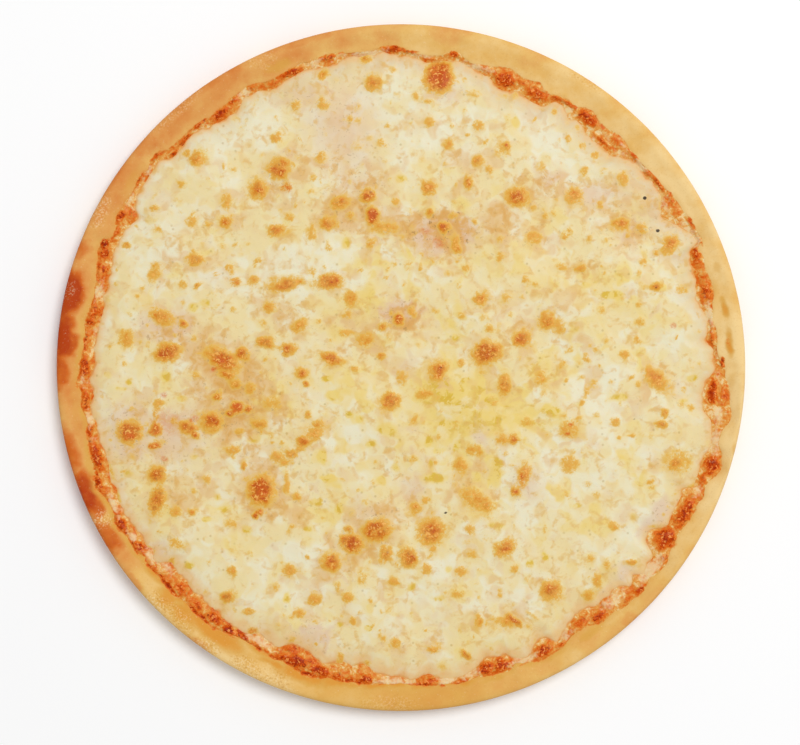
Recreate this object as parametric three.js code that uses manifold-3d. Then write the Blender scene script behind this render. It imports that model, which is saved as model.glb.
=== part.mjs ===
// A cheese pizza baked whole: a round of dough with a low soft rim, a thin layer of tomato sauce
// that shows as a lumpy ring, and a sheet of melted mozzarella with browned blisters.
// Millimetres, +Z up. The origin is the centre of the flat underside.

import * as THREE from "three";
import { mergeVertices } from "three/addons/utils/BufferGeometryUtils.js";
import Module from "manifold-3d";

const wasm = await Module();
wasm.setup();

// Driving dimensions
const pizzaRadius = 150;
const outlineStretch = 0.00125; // share by which the round is longer along X and shorter along Y
const baseThickness = 5.5;
const rimHeight = 12;
const rimDrift = 0.5; // how far the rim's height wanders, up and down
const rimWaveCounts = [2, 3, 5, 9]; // slow waves of that height round the pizza
const sauceThickness = 1.2; // under the cheese
const sauceShoulder = 3.8; // height at which the sauce's edge meets the rim, above its underside
const sauceCrest = 3.3; // lowest height of the ring that shows, above the sauce's underside
const sauceStep = 0.5; // how much lower it is beside the cheese
const narrowestSauce = 1.6;
const recessLean = 1.3; // how far the recess's wall leans outwards over the sauce's edge
const cheeseThickness = 2.9;
const cheeseSwell = 0.35; // height of the slow waves in the cheese
const shortestSwell = 28; // their length, and by how much the longest one is longer
const swellSpread = 45;
const cheeseLip = 1.5; // how far the cheese falls away at its edge
const lipStart = 0.93; // share of the cheese's radius at which it starts to fall
const edgeUndercut = 0.4; // how far its wall is drawn in at the bottom
const blisterHeight = 0.9;
const layerGap = 0.35;

// The rim's section from the flat underside to just below the crown: how far inside the widest
// line, and the height as a share of the rim's
const rimSection = [
  { inset: 4.5, share: 0 },
  { inset: 1.2, share: 0.11 },
  { inset: 0, share: 0.35 },
  { inset: 0.6, share: 0.62 },
  { inset: 1.7, share: 0.88 },
];
const crownPlace = 0.55; // share of the way from the recess to the widest line
const slopeRise = 0.65; // share of the inner slope's rise that lies below its middle

// Heights of the undersides of the upper layers
const sauceFloor = baseThickness + layerGap;
const cheeseFloor = sauceFloor + sauceThickness + layerGap;

// The cheese's facets lie in rings, and ring n has 6n points, so its edge sets the steps all round
const cheeseRings = 26;
const steps = 6 * cheeseRings;
const fullTurn = 2 * Math.PI;

// Radius of the cheese's edge, every 5 degrees from +X towards +Y
const cheeseEdge = [
  137, 133.5, 135, 133.5, 135, 139.5, 131.5, 137, 136.5, 130.5, 130, 132.5,
  134.5, 130, 128.5, 133.5, 136.5, 134, 135.5, 138, 138, 135.5, 135.5, 134,
  137, 133, 136.5, 136, 139.5, 137.5, 133, 135, 134.5, 133, 133, 134.5,
  134, 134.5, 136, 135, 136, 136.5, 136, 136, 131.5, 132, 133, 135,
  135, 133.5, 130, 134, 131.5, 133.5, 135.5, 135, 138, 133.5, 134, 136,
  138, 132.5, 135, 135, 139, 131, 135.5, 135, 137.5, 140, 138, 132.5,
];

// Radius at which the sauce ends on the rim, at the same angles
const sauceEdge = [
  141, 138.5, 138, 140.5, 140.5, 142, 140.5, 139, 138, 138.5, 137, 138.5,
  137, 137.5, 139, 136.5, 140, 136.5, 138.5, 139, 139.5, 139.5, 138.5, 137.5,
  139, 137.5, 138.5, 138.5, 141.5, 140.5, 140, 137.5, 140.5, 138, 138, 138,
  140.5, 139, 138.5, 140, 141.5, 140, 141, 140.5, 139.5, 140, 139.5, 139.5,
  137, 138, 139, 140.5, 139, 138.5, 137.5, 139, 140, 139, 140, 141.5,
  141, 138.5, 141.5, 143, 142, 142.5, 141, 142.5, 143, 145, 144, 143.5,
];

// Lumps of sauce on the ring: angle in degrees, half length along the ring, height
const sauceLumps = [
  [14, 4.5, 0.9], [20.5, 4, 1], [53.5, 5, 1.3], [63.5, 4.5, 1], [70, 5, 1.3], [80.5, 3, 0.7],
  [91.5, 4.5, 0.8], [110, 5.5, 0.7], [124.5, 6.5, 1], [137, 4, 0.8], [152, 3.5, 0.9],
  [158.5, 4.5, 1.3], [170, 8, 0.8], [180, 5, 1], [197, 7, 1.1], [209.5, 3.5, 1.1],
  [214, 4, 0.9], [225, 5, 0.9], [233.5, 4, 1], [251, 6, 1.3], [263.5, 4.5, 0.9],
  [275, 3.2, 0.8], [287, 6, 1.2], [297, 4.5, 1.2], [307, 6, 1], [316.5, 4, 0.8],
  [326, 4.5, 1.4], [332, 7, 1.1], [342, 6, 1.3], [355, 6, 1.3],
];

// Browned blisters of the cheese: x, y, length, breadth, and the length's turn from +X in degrees
const blisters = [
  [16.5, 126.5, 13, 12, 90], [-53, 86.5, 9, 8, 30], [-62, 77.5, 8, 7, 60], [50.5, 74, 9, 8, 0],
  [75, 74.5, 7, 7, 0], [44, 95, 8, 7, 0], [-101.5, 6.5, 10, 7, 10], [-119.5, 12.5, 8, 7, 90],
  [-104, 22, 11, 6, -20], [-107, 41, 9, 5, 60], [-76, 72, 8, 5, 70], [-77, 2, 14, 8, -35],
  [-26.5, 71.5, 8, 5, 20], [-50, 36, 13, 5, 15], [-31, 37.5, 11, 6, 0], [-44, 18.5, 8, 5, 20],
  [-22, 30, 8, 7, 0], [-15.5, 12, 7, 7, 0], [-30, 4, 9, 5, -20], [57.5, 56.5, 8, 5, 0],
  [65, 19.5, 9, 7, -30], [52.5, 12.5, 8, 7, 0], [37, 6.5, 11, 9, 20], [16.5, -2, 8, 7, 90],
  [117, 53.5, 9, 6, 60], [111, -5.5, 11, 6, -40], [114, -22, 8, 5, 80], [73, -27, 9, 8, -50],
  [46.5, -31, 8, 5, 0], [73.5, -42, 8, 8, 0], [121.5, -40.5, 14, 11, 0], [53.5, -48, 12, 5, 75],
  [33, -57.5, 15, 8, -35], [13, -71.5, 12, 11, 45], [7, -60.5, 8, 5, 30], [-21.5, -77, 10, 8, -30],
  [-10.5, -70.5, 11, 9, 30], [-30.5, -84.5, 8, 7, -20], [3.5, -83, 8, 7, -60], [-4.5, -14.5, 8, 7, 0],
  [45, -7.5, 9, 5, 90], [-60.5, -53.5, 11, 9, 80], [-118.5, -28, 10, 9, -60], [-92.5, -26.5, 8, 5, -30],
  [-82, -23.5, 9, 8, 0], [-70.5, -18, 9, 4, 15], [-38.5, -28.5, 9, 7, 30], [-52, -39.5, 8, 5, -20],
  [-106, -57.5, 13, 7, 75], [45.5, -78.5, 9, 6, 30], [46, -110, 13, 6, -10], [65, -97, 8, 8, 0],
];

// A repeatable source of numbers from 0 to 1
function randomSource(seed) {
  let state = seed;
  return () => {
    state = (state * 1664525 + 1013904223) % 4294967296;
    return state / 4294967296;
  };
}

// The value at any angle of a Catmull-Rom curve through numbers evenly spaced round the pizza
function around(values, angle) {
  const place = (angle / fullTurn) * values.length;
  const before = Math.floor(place);
  const share = place - before;
  const [a, b, c, d] = [-1, 0, 1, 2].map((n) => values.at((before + n) % values.length));
  const bend = 2 * a - 5 * b + 4 * c - d + share * (3 * (b - c) + d - a);
  return b + 0.5 * share * (c - a + share * bend);
}

// The degrees from one angle to another, the shorter way round
function degreesBetween(angle, degrees) {
  const apart = THREE.MathUtils.radToDeg(angle) - degrees;
  return THREE.MathUtils.euclideanModulo(apart + 180, 360) - 180;
}

const outlineRadius = (angle) => pizzaRadius * (1 + outlineStretch * Math.cos(2 * angle));
const cheeseRadius = (angle) => around(cheeseEdge, angle);

function sauceRadius(angle) {
  return Math.max(around(sauceEdge, angle), cheeseRadius(angle) + narrowestSauce);
}

// The rim's height: a few slow waves round the pizza, whole numbers of them so that they close
const rimRandom = randomSource(11);
const rimWaves = rimWaveCounts.map((count) => ({ count, phase: fullTurn * rimRandom() }));

function rimTop(angle) {
  const drift = rimWaves.map(({ count, phase }) => Math.sin(count * angle + phase));
  return rimHeight + (rimDrift * drift.reduce((sum, wave) => sum + wave)) / rimWaves.length;
}

// The crest of the sauce's ring: an even bead that each lump raises over its own length
function sauceCrestAt(angle) {
  const lumps = sauceLumps.map(([degrees, halfLength, height]) => {
    const along = THREE.MathUtils.degToRad(degreesBetween(angle, degrees)) * sauceRadius(angle);
    return height * Math.exp(-((along / halfLength) ** 2));
  });
  return sauceCrest + Math.max(...lumps);
}

// The cheese's top: flat apart from slow waves that cross at all angles, and a lip at its edge
const cheeseRandom = randomSource(7);
const cheeseWaves = Array.from({ length: 9 }, (_, n) => ({
  heading: (Math.PI * (n + cheeseRandom())) / 9,
  length: shortestSwell + swellSpread * cheeseRandom(),
  phase: fullTurn * cheeseRandom(),
}));

function cheeseTop(x, y) {
  const angle = THREE.MathUtils.euclideanModulo(Math.atan2(y, x), fullTurn);
  const share = Math.hypot(x, y) / cheeseRadius(angle);
  const lip = cheeseLip * Math.max(0, (share - lipStart) / (1 - lipStart)) ** 2;
  const waves = cheeseWaves.map(({ heading, length, phase }) => {
    const along = x * Math.cos(heading) + y * Math.sin(heading);
    return Math.sin((fullTurn * along) / length + phase);
  });
  const swell = waves.reduce((sum, wave) => sum + wave) / Math.sqrt(waves.length);
  return cheeseThickness + cheeseSwell * swell - lip;
}

function geometryOf(points, faces) {
  const geometry = new THREE.BufferGeometry();
  geometry.setAttribute("position", new THREE.Float32BufferAttribute(points, 3));
  geometry.setIndex(Array.from(faces));
  geometry.computeVertexNormals();
  return geometry;
}

// A round closed body. profile(angle) gives the [radius, height] of each ring of points, from the
// underside outwards and over the top, and a fan closes it to the axis at either end.
function roundBody(undersideHeight, topHeight, profile) {
  const points = [0, 0, undersideHeight, 0, 0, topHeight];
  const faces = [];
  const ringCount = profile(0).length;
  const at = (step, ring) => 2 + (step % steps) * ringCount + ring;
  for (let step = 0; step < steps; step++) {
    const angle = (step / steps) * fullTurn;
    for (const [radius, height] of profile(angle)) {
      points.push(radius * Math.cos(angle), radius * Math.sin(angle), height);
    }
    faces.push(0, at(step + 1, 0), at(step, 0));
    for (let ring = 0; ring < ringCount - 1; ring++) {
      faces.push(at(step, ring), at(step + 1, ring), at(step + 1, ring + 1));
      faces.push(at(step, ring), at(step + 1, ring + 1), at(step, ring + 1));
    }
    faces.push(1, at(step, ringCount - 1), at(step + 1, ringCount - 1));
  }
  return geometryOf(points, faces);
}

// The dough: flat underneath, rounded up to its widest, over the rim and down into the recess
function crustProfile(angle) {
  const edge = outlineRadius(angle);
  const recess = sauceRadius(angle) + layerGap;
  const crown = recess + crownPlace * (edge - recess);
  const top = rimTop(angle);
  const wallTop = sauceFloor + sauceShoulder;
  return [
    ...rimSection.map(({ inset, share }) => [edge - inset, share * top]),
    [crown, top],
    [0.5 * (recess + crown), wallTop + slopeRise * (top - wallTop)],
    [recess, wallTop],
    [recess - recessLean, baseThickness],
  ];
}

// The sauce: thin under the cheese, then a wall just outside the cheese's edge, a lumpy crest,
// and down to where it meets the rim
function sauceProfile(angle) {
  const inner = cheeseRadius(angle) + layerGap;
  const outer = sauceRadius(angle);
  return [
    [outer - recessLean, 0],
    [outer, sauceShoulder],
    [0.5 * (inner + outer), sauceCrestAt(angle)],
    [inner + layerGap, sauceCrest - sauceStep],
    [inner, sauceThickness],
  ];
}

// The cheese's sheet: its top is a round net of even facets, six more in each ring
function cheeseSheet() {
  const points = [0, 0, cheeseTop(0, 0)];
  const faces = [];
  const at = (ring, place) => (ring === 0 ? 0 : 1 + 3 * ring * (ring - 1) + (place % (6 * ring)));
  for (let ring = 1; ring <= cheeseRings; ring++) {
    for (let place = 0; place < 6 * ring; place++) {
      const angle = (place / (6 * ring)) * fullTurn;
      const radius = (cheeseRadius(angle) * ring) / cheeseRings;
      const [x, y] = [radius * Math.cos(angle), radius * Math.sin(angle)];
      const sector = Math.floor(place / ring);
      const inner = sector * (ring - 1) + (place % ring);
      points.push(x, y, cheeseTop(x, y));
      faces.push(at(ring, place), at(ring, place + 1), at(ring - 1, inner));
      if (place % ring < ring - 1) {
        faces.push(at(ring, place + 1), at(ring - 1, inner + 1), at(ring - 1, inner));
      }
    }
  }
  addUnderside(points, faces, (step) => at(cheeseRings, step));
  return geometryOf(points, faces);
}

// Closes the sheet: a wall down from its edge, drawn in a little, and a fan across the flat bottom
function addUnderside(points, faces, edgeAt) {
  const first = points.length / 3;
  const centre = first + steps;
  const at = (step) => first + (step % steps);
  for (let step = 0; step < steps; step++) {
    const angle = (step / steps) * fullTurn;
    const radius = cheeseRadius(angle) - edgeUndercut;
    points.push(radius * Math.cos(angle), radius * Math.sin(angle), 0);
    faces.push(at(step), at(step + 1), edgeAt(step + 1));
    faces.push(at(step), edgeAt(step + 1), edgeAt(step));
    faces.push(centre, at(step + 1), at(step));
  }
  points.push(0, 0, 0);
}

function solidOf(geometry) {
  geometry.deleteAttribute("normal");
  geometry.deleteAttribute("uv");
  const merged = mergeVertices(geometry);
  const vertProperties = Float32Array.from(merged.attributes.position.array);
  const triVerts = Uint32Array.from(merged.index.array);
  return new wasm.Manifold(new wasm.Mesh({ numProp: 3, vertProperties, triVerts }));
}

// A blister: a low dome with its widest line at the cheese's own surface
function blisterDome([x, y, length, breadth, degrees]) {
  const dome = new THREE.SphereGeometry(1, 9, 4);
  dome.rotateX(Math.PI / 2);
  dome.scale(length / 2, breadth / 2, blisterHeight);
  dome.rotateZ(THREE.MathUtils.degToRad(degrees));
  dome.translate(x, y, cheeseTop(x, y));
  return dome;
}

function blisteredCheese() {
  let cheese = solidOf(cheeseSheet());
  for (const blister of blisters) {
    cheese = cheese.add(solidOf(blisterDome(blister)));
  }
  const mesh = cheese.getMesh();
  return geometryOf(mesh.vertProperties, mesh.triVerts);
}

function layer(name, geometry, material, height) {
  const mesh = new THREE.Mesh(geometry, new THREE.MeshStandardMaterial(material));
  mesh.name = name;
  mesh.position.z = height;
  return mesh;
}

const crustShape = roundBody(0, baseThickness, crustProfile);
const sauceShape = roundBody(0, sauceThickness, sauceProfile);

const pizza = new THREE.Group();
pizza.add(
  layer("crust", crustShape, { color: 0xe2b163, roughness: 0.75, metalness: 0 }, 0),
  layer("sauce", sauceShape, { color: 0xc4481f, roughness: 0.35, metalness: 0 }, sauceFloor),
  layer("cheese", blisteredCheese(), { color: 0xe9dfae, roughness: 0.4, metalness: 0 }, cheeseFloor),
);

export default pizza;
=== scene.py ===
import math

import bpy
import numpy as np
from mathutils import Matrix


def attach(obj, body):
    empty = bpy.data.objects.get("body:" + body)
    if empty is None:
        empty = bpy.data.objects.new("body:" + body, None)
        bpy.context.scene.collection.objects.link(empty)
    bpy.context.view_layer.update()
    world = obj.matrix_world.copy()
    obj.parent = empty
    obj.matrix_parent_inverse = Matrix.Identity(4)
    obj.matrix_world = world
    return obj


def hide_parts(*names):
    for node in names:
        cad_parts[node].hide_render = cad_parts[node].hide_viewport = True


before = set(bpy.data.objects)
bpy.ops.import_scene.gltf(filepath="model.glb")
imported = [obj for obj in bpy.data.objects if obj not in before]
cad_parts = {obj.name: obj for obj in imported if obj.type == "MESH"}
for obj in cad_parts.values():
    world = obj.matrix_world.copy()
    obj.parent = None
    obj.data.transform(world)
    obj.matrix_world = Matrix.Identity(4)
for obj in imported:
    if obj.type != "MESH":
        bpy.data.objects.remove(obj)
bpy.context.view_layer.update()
print("frame loaded")

# Shapes are worked out in millimetres and turned to metres as a mesh is made. Angles run in degrees
# from +X towards +Y.
metresPerMm = 0.001
fullTurn = 2 * math.pi

# Readings round the pizza: angle, radius of the cheese's edge, radius at which the sauce ends
ringReadings = [
    (0, 138, 141.5), (2, 136.5, 138.5), (3.5, 137, 138), (5, 133.5, 138.5), (7, 135, 138.5),
    (8.5, 135.5, 137), (10, 135, 138), (12, 133.5, 138.5), (13, 132.2, 140), (15, 133.5, 140.5),
    (16.5, 134.5, 140), (18, 134.5, 139), (20, 134.8, 140.5), (22, 136, 139), (23, 141, 143),
    (25, 139.5, 141.5), (27, 136.5, 141), (28.5, 134, 140.5), (30, 131.5, 140.5), (32, 134, 140),
    (33.5, 136.5, 139.5), (35, 136.8, 139), (37, 136.5, 138.5), (38.5, 135.5, 138), (40, 136.2, 137.7),
    (42, 135.5, 137.5), (43.5, 133.5, 137.5), (45, 130.5, 138.5), (47, 130.5, 139), (50, 130, 137),
    (52, 130.5, 137.5), (53, 132.3, 139.8), (55, 132.5, 138.5), (56, 131, 136.5), (58, 134.5, 137.5),
    (60, 134.5, 137), (61, 131, 136), (62, 129.5, 134.5), (64, 129.5, 138.5), (65, 130, 137.5),
    (67, 131, 137), (68, 130.5, 137.5), (70, 128.5, 139), (71.5, 130, 138), (73, 132.5, 137),
    (75, 133.5, 136.5), (77, 134.5, 136), (79, 136, 138.5), (80, 136.5, 140), (82, 135, 137.5),
    (83, 134.5, 137), (85, 133.8, 136.5), (87, 135.5, 137), (89, 136.5, 138), (90, 135.5, 138.5),
    (91, 137, 139.5), (93, 138, 140.5), (95, 137, 138.7), (97, 137, 138.5), (100, 137.7, 139.2),
    (101, 136.5, 139.5), (103, 135.5, 140.3), (105, 135.5, 139.5), (107, 136.5, 139), (108, 136.5, 140),
    (110, 135.5, 138.5), (112, 135.5, 138), (114, 133.7, 137.5), (115, 134, 137.5), (117, 136, 139),
    (119, 136, 140), (120, 137, 139), (121.5, 134, 139), (123, 133, 138), (125, 133, 137.3),
    (127, 134, 136.8), (129, 134.5, 138), (130, 136.5, 138.5), (132, 136.8, 138.5), (135, 136, 138.5),
    (137, 135, 139), (139, 138.5, 141.5), (140, 139.5, 141.5), (142, 138, 139.8), (143.5, 138, 141),
    (145, 137.5, 140.5), (147, 137.8, 139.7), (149, 135.5, 140), (150.5, 132, 140), (152, 133.5, 140.5),
    (154, 135, 138), (155, 135, 137.5), (156, 135, 138.5), (157, 135.5, 141.5), (159, 135.5, 141.5),
    (160, 134.5, 140.5), (161, 133.5, 139.5), (162.5, 133.5, 139), (164, 133, 138), (165.5, 133, 138),
    (166.5, 134.5, 137), (168, 132.5, 137.5), (170, 132.8, 138), (172, 133.5, 139.5), (174, 134, 138),
    (176, 134.5, 138.5), (178, 134, 139), (180, 134, 140.5), (181, 135, 140), (182.5, 136.5, 141.5),
    (184, 134.5, 140), (185, 134.5, 139), (187, 137, 140.5), (188.5, 137, 139), (190, 135, 138.5),
    (191.5, 135.5, 139.5), (193, 136, 139.5), (194.5, 135, 140), (197, 134.5, 140.5), (199, 135, 141),
    (200, 136, 141.5), (201.5, 136, 143), (203, 135, 141), (205, 136.5, 140), (207, 136.5, 140),
    (208.5, 137, 142), (210, 136, 141), (211.5, 135.5, 140), (213, 135, 140.5), (215, 136, 140.5),
    (216.5, 134, 138.5), (217.5, 136.8, 140), (219, 136.5, 140), (220, 131, 139.5), (222, 132.5, 139),
    (224, 132.5, 139.5), (225, 132, 140), (227, 134, 139), (229, 132.5, 139), (231, 134, 140),
    (233, 133, 140), (235, 135, 139.5), (236.5, 134.8, 138), (239, 135, 137), (240, 134.8, 136.8),
    (242, 131.5, 137), (244, 133, 137.5), (246, 134, 138.5), (248, 130.5, 137.5), (250, 130, 139),
    (252, 130.5, 140), (254, 132.5, 140), (255, 134, 140.5), (257, 133, 138.5), (259, 131, 139.5),
    (261, 132, 138.5), (263, 130.5, 139), (265, 133.5, 138.5), (267, 135, 138), (269, 135.3, 138),
    (270, 135.3, 137.3), (272, 137, 138.7), (274, 135, 138.5), (275.5, 134.5, 139.5), (277, 137, 139.3),
    (278.5, 137.4, 139), (280, 138, 139.8), (281.5, 137.3, 139.8), (283, 136.5, 139), (284.5, 134.5, 139),
    (286, 132.3, 139.5), (288, 133, 139.5), (290, 133.5, 140.5), (291, 136, 137.8), (292.5, 137.5, 139.2),
    (294, 138.4, 140.2), (295.5, 135, 141.5), (297, 133.5, 141.8), (298.5, 134, 141), (299.5, 138.5, 141.3),
    (301, 136.5, 139.8), (302.5, 134.5, 138.5), (304, 133, 138.5), (306, 132, 139), (308, 133, 141.5),
    (309.5, 135, 141.5), (311, 134, 141), (312.5, 135.5, 142.5), (314, 134.5, 143), (315, 135, 143),
    (316.5, 139.5, 143.5), (318, 136, 143), (319.5, 139, 142), (321, 138, 143), (323.5, 138, 144),
    (324.5, 131.5, 143), (326, 130, 141.5), (327.5, 131, 141), (328.5, 135, 141), (330, 135.5, 141),
    (332, 134.5, 142), (334, 134.5, 142.5), (335.5, 135, 142), (337, 134.5, 143.5), (338, 139, 142.5),
    (339.5, 137.5, 142.5), (341, 137.8, 145), (342.5, 137.5, 146.5), (344, 138, 145), (345, 140, 145),
    (346.5, 139, 142), (349, 139, 142.5), (350.5, 137, 145), (352, 133.5, 145.5), (353.5, 132.5, 144),
    (355, 132.5, 143.5), (357, 133.5, 143), (358.5, 135.5, 141),
]

# Heights shared by the three layers
layers = {
    "doughTop": 5.5,
    "gap": 0.05,  # between the sauce and the dough below it
    "sauceTop": 7.05,
    "cheeseFloor": 7.4,
    "seam": 9.65,  # where the sauce meets the rim
    "shore": 8.65,  # height of the sauce beside the cheese
    "tuck": 0.1,  # how deep an upper layer's edge is sunk into the one below, so that no gap shows
    "steps": 1080,
}


def smooth(share):
    # 0 below 0, 1 above 1, and 3t^2 - 2t^3 between
    t = np.clip(share, 0, 1)
    return t * t * (3 - 2 * t)


def drift(x, y, size, seed):
    # Gradient noise of about -1 to 1: each corner of a square net of that size has a random slope,
    # and the four slopes round a point are blended by 6t^5 - 15t^4 + 10t^3
    net = 64
    headings = np.random.default_rng(seed).uniform(0, fullTurn, (net, net))
    column, row = np.floor(x / size).astype(int), np.floor(y / size).astype(int)
    u, v = x / size - column, y / size - row

    def slope(right, up):
        heading = headings[(column + right) % net, (row + up) % net]
        return np.cos(heading) * (u - right) + np.sin(heading) * (v - up)

    blendU, blendV = (t ** 3 * (t * (6 * t - 15) + 10) for t in (u, v))
    low = slope(0, 0) + blendU * (slope(1, 0) - slope(0, 0))
    high = slope(0, 1) + blendU * (slope(1, 1) - slope(0, 1))
    return 1.5 * (low + blendV * (high - low))


def rough(x, y, size, seed, octaves=3):
    # Drifts of half the size and half the height on top of each other
    return sum(drift(x, y, size / 2 ** n, seed + n) / 2 ** n for n in range(octaves))


def randomShares(seed, count):
    # Repeatable numbers from 0 to 1: each state is 1664525 times the last plus 1013904223, cut to 32 bits
    states = [seed]
    for _ in range(count):
        states.append((states[-1] * 1664525 + 1013904223) % 2 ** 32)
    return np.array(states[1:]) / 2 ** 32


def softEdge(edge):
    # 1 where the reach is under 1 - edge, 0 beyond 1 + edge, smooth between
    return lambda reach: smooth((1 + edge - reach) / (2 * edge))


def glow(reach):
    # A flat-topped bell, e^(-0.85 r^3): 0.4 on the outline and next to nothing at 1.5 times its size
    return np.exp(-0.85 * np.maximum(reach, 0) ** 3)


def spotRows(spots):
    # Rows of x, y, length, breadth, strength and turn. A spot may leave out a turn of 0, and with it
    # a strength of 0.8.
    return np.array([(*spot, *(0.8, 0)[len(spot) - 4:]) for spot in spots], float)


def spread(x, y, spots, profile, fray=0):
    # The strongest of many ovals at each point. The reach is the elliptical radius, 1 on an oval's
    # outline, and fray is a noise in mm that makes the outline uneven.
    field = np.zeros_like(x)
    fray = fray + field
    for cx, cy, length, breadth, strength, turn in spotRows(spots):
        near = (np.abs(x - cx) < length) & (np.abs(y - cy) < length)
        cosine, sine = math.cos(math.radians(turn)), math.sin(math.radians(turn))
        dx, dy = x[near] - cx, y[near] - cy
        along = (dx * cosine + dy * sine) / (0.5 * length)
        across = (dy * cosine - dx * sine) / (0.5 * breadth)
        reach = np.hypot(along, across) + fray[near] / math.sqrt(0.25 * length * breadth)
        field[near] = np.maximum(field[near], strength * profile(reach))
    return field


def alongRing(places):
    # Turns (angle, radius, half length, half breadth, strength) into ovals that lie along the ring
    angle, radius, halfLength, halfBreadth, strength = np.array(places, float).T
    x, y = radius * np.cos(np.radians(angle)), radius * np.sin(np.radians(angle))
    return np.stack([x, y, 2 * halfLength, 2 * halfBreadth, strength, angle + 90], -1)


def aroundRing(angle, values):
    # Values at even steps round the ring, joined by straight lines
    return np.interp(angle, np.arange(len(values)) * 360 / len(values), values, period=360)


def evened(column):
    # The readings joined by straight lines at every quarter of a degree, then a mean of each value
    # and its neighbours weighted by a bell, closed round the ring
    readings = np.array(ringReadings, float).T
    values = np.interp(np.arange(0, 360, 0.25), readings[0], readings[column], period=360)
    bell = np.exp(-np.linspace(-2, 2, 9) ** 2)
    return sum(weight * np.roll(values, n - 4) for n, weight in enumerate(bell)) / bell.sum()


cheeseLine, sauceLine = evened(1), evened(2)


def linear(hexText):
    # sRGB hex to linear light: ((c + 0.055) / 1.055)^2.4, or c / 12.92 for the darkest
    parts = [int(hexText[n:n + 2], 16) / 255 for n in (0, 2, 4)]
    return [c / 12.92 if c <= 0.04045 else ((c + 0.055) / 1.055) ** 2.4 for c in parts] + [1.0]


def addNode(tree, kind, settings, output=0):
    # Adds a shader node, sets its properties and sockets by name or number, joins the outputs among
    # its settings, and gives back one of its own. "stops" are a ramp's places and hex colours.
    node = tree.nodes.new("ShaderNode" + kind)
    for name, value in settings.items():
        if name == "stops":
            elements = node.color_ramp.elements
            while len(elements) < len(value):
                elements.new(1)
            for element, (place, tone) in zip(elements, value):
                element.position = place
                element.color = linear(tone)
        elif isinstance(value, bpy.types.NodeSocket):
            tree.links.new(value, node.inputs[name])
        elif isinstance(name, str) and hasattr(node, name):
            setattr(node, name, value)
        else:
            node.inputs[name].default_value = value
    return node.outputs[output] if node.outputs else node


def newMaterial(name):
    # An empty node material and its tree
    material = bpy.data.materials.new(name)
    material.use_nodes = True
    material.node_tree.nodes.clear()
    return material, material.node_tree


def overlay(tree, under, coats):
    # Lays coats over a colour one after another. A coat is its colour, hex or an output, and its
    # factors, which are multiplied. A factor is an output, or (output, low, high, least, most) where
    # low becomes least and high becomes most, 0 and 1 where they are left out.
    for over, *factors in coats:
        share = None
        for factor in factors:
            if isinstance(factor, tuple):
                factor = addNode(tree, "MapRange", {
                    "interpolation_type": "SMOOTHSTEP", **dict(enumerate(factor))})
            if share is not None:
                factor = addNode(tree, "Math", {"operation": "MULTIPLY", 0: share, 1: factor})
            share = factor
        under, over = (linear(tone) if isinstance(tone, str) else tone for tone in (under, over))
        under = addNode(tree, "Mix", {
            "data_type": "RGBA", "clamp_factor": True, 0: share, 6: under, 7: over}, 2)
    return under


def addUp(tree, rest, *terms):
    # rest plus each value times its weight, all of them numbers or outputs
    for value, weight in terms:
        rest = addNode(tree, "Math", {"operation": "MULTIPLY_ADD", 0: value, 1: weight, 2: rest})
    return rest


def makePiece(name, points, faces, masks, material, node):
    # Points in mm become a closed smooth mesh in metres, with one number for each mask at each point
    mesh = bpy.data.meshes.new(name)
    mesh.from_pydata((points * metresPerMm).tolist(), [], faces)
    mesh.shade_smooth()
    for mask, values in masks.items():
        attribute = mesh.attributes.new(mask, "FLOAT", "POINT")
        attribute.data.foreach_set("value", np.asarray(values, np.float32).ravel())
    mesh.materials.append(material)
    piece = bpy.data.objects.new(name, mesh)
    bpy.context.scene.collection.objects.link(piece)
    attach(piece, "root")
    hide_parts(node)
    print(name, "made:", len(points), "points")


def fan(centre, loop):
    # Three-sided faces from a centre point to each side of a closed loop
    return np.stack([np.full(len(loop), centre), loop, np.roll(loop, -1)], -1).tolist()


def roundPiece(radius, height, angles, lowCentre, highCentre):
    # Rings of points from the middle of the underside outwards and over the top to the middle again:
    # radius and height have one row for each ring and one column for each angle
    rings, steps = radius.shape
    turn = np.radians(angles)
    skin = np.stack([radius * np.cos(turn), radius * np.sin(turn), height], -1).reshape(-1, 3)
    points = np.vstack([skin, [[0, 0, lowCentre], [0, 0, highCentre]]])
    number = np.arange(rings * steps).reshape(rings, steps)
    after = np.roll(number, -1, axis=1)
    quads = np.stack([number[:-1], after[:-1], after[1:], number[1:]], -1)
    ends = fan(rings * steps, number[0, ::-1]) + fan(rings * steps + 1, number[-1])
    return points, quads.reshape(-1, 4).tolist() + ends


sauce = {
    "rows": 26,
    "lumpHeight": 0.9,
    "foldHeight": 7.9,  # of the fold under the cheese's edge
    "stops": [  # from a thin oily wash to thick cooked pulp
        (0.0, "EBCB92"), (0.1, "E6AE5E"), (0.22, "DF9440"), (0.35, "DC7A28"),
        (0.5, "D8600E"), (0.7, "C04200"), (0.95, "8C1E00")],
    "gaps": "8C1E00",
    # painted highlight on the grains of the wet pulp
    "paintedHighlight": "F4A050",
    "film": "EBCE9E",
}

# Redness of the thin line that the sauce leaves along the rim, every 30 degrees
seamLine = [0.3, 0.35, 0.35, 0.35, 0.45, 0.6, 0.65, 0.75, 0.85, 0.65, 0.5, 0.4]

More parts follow.
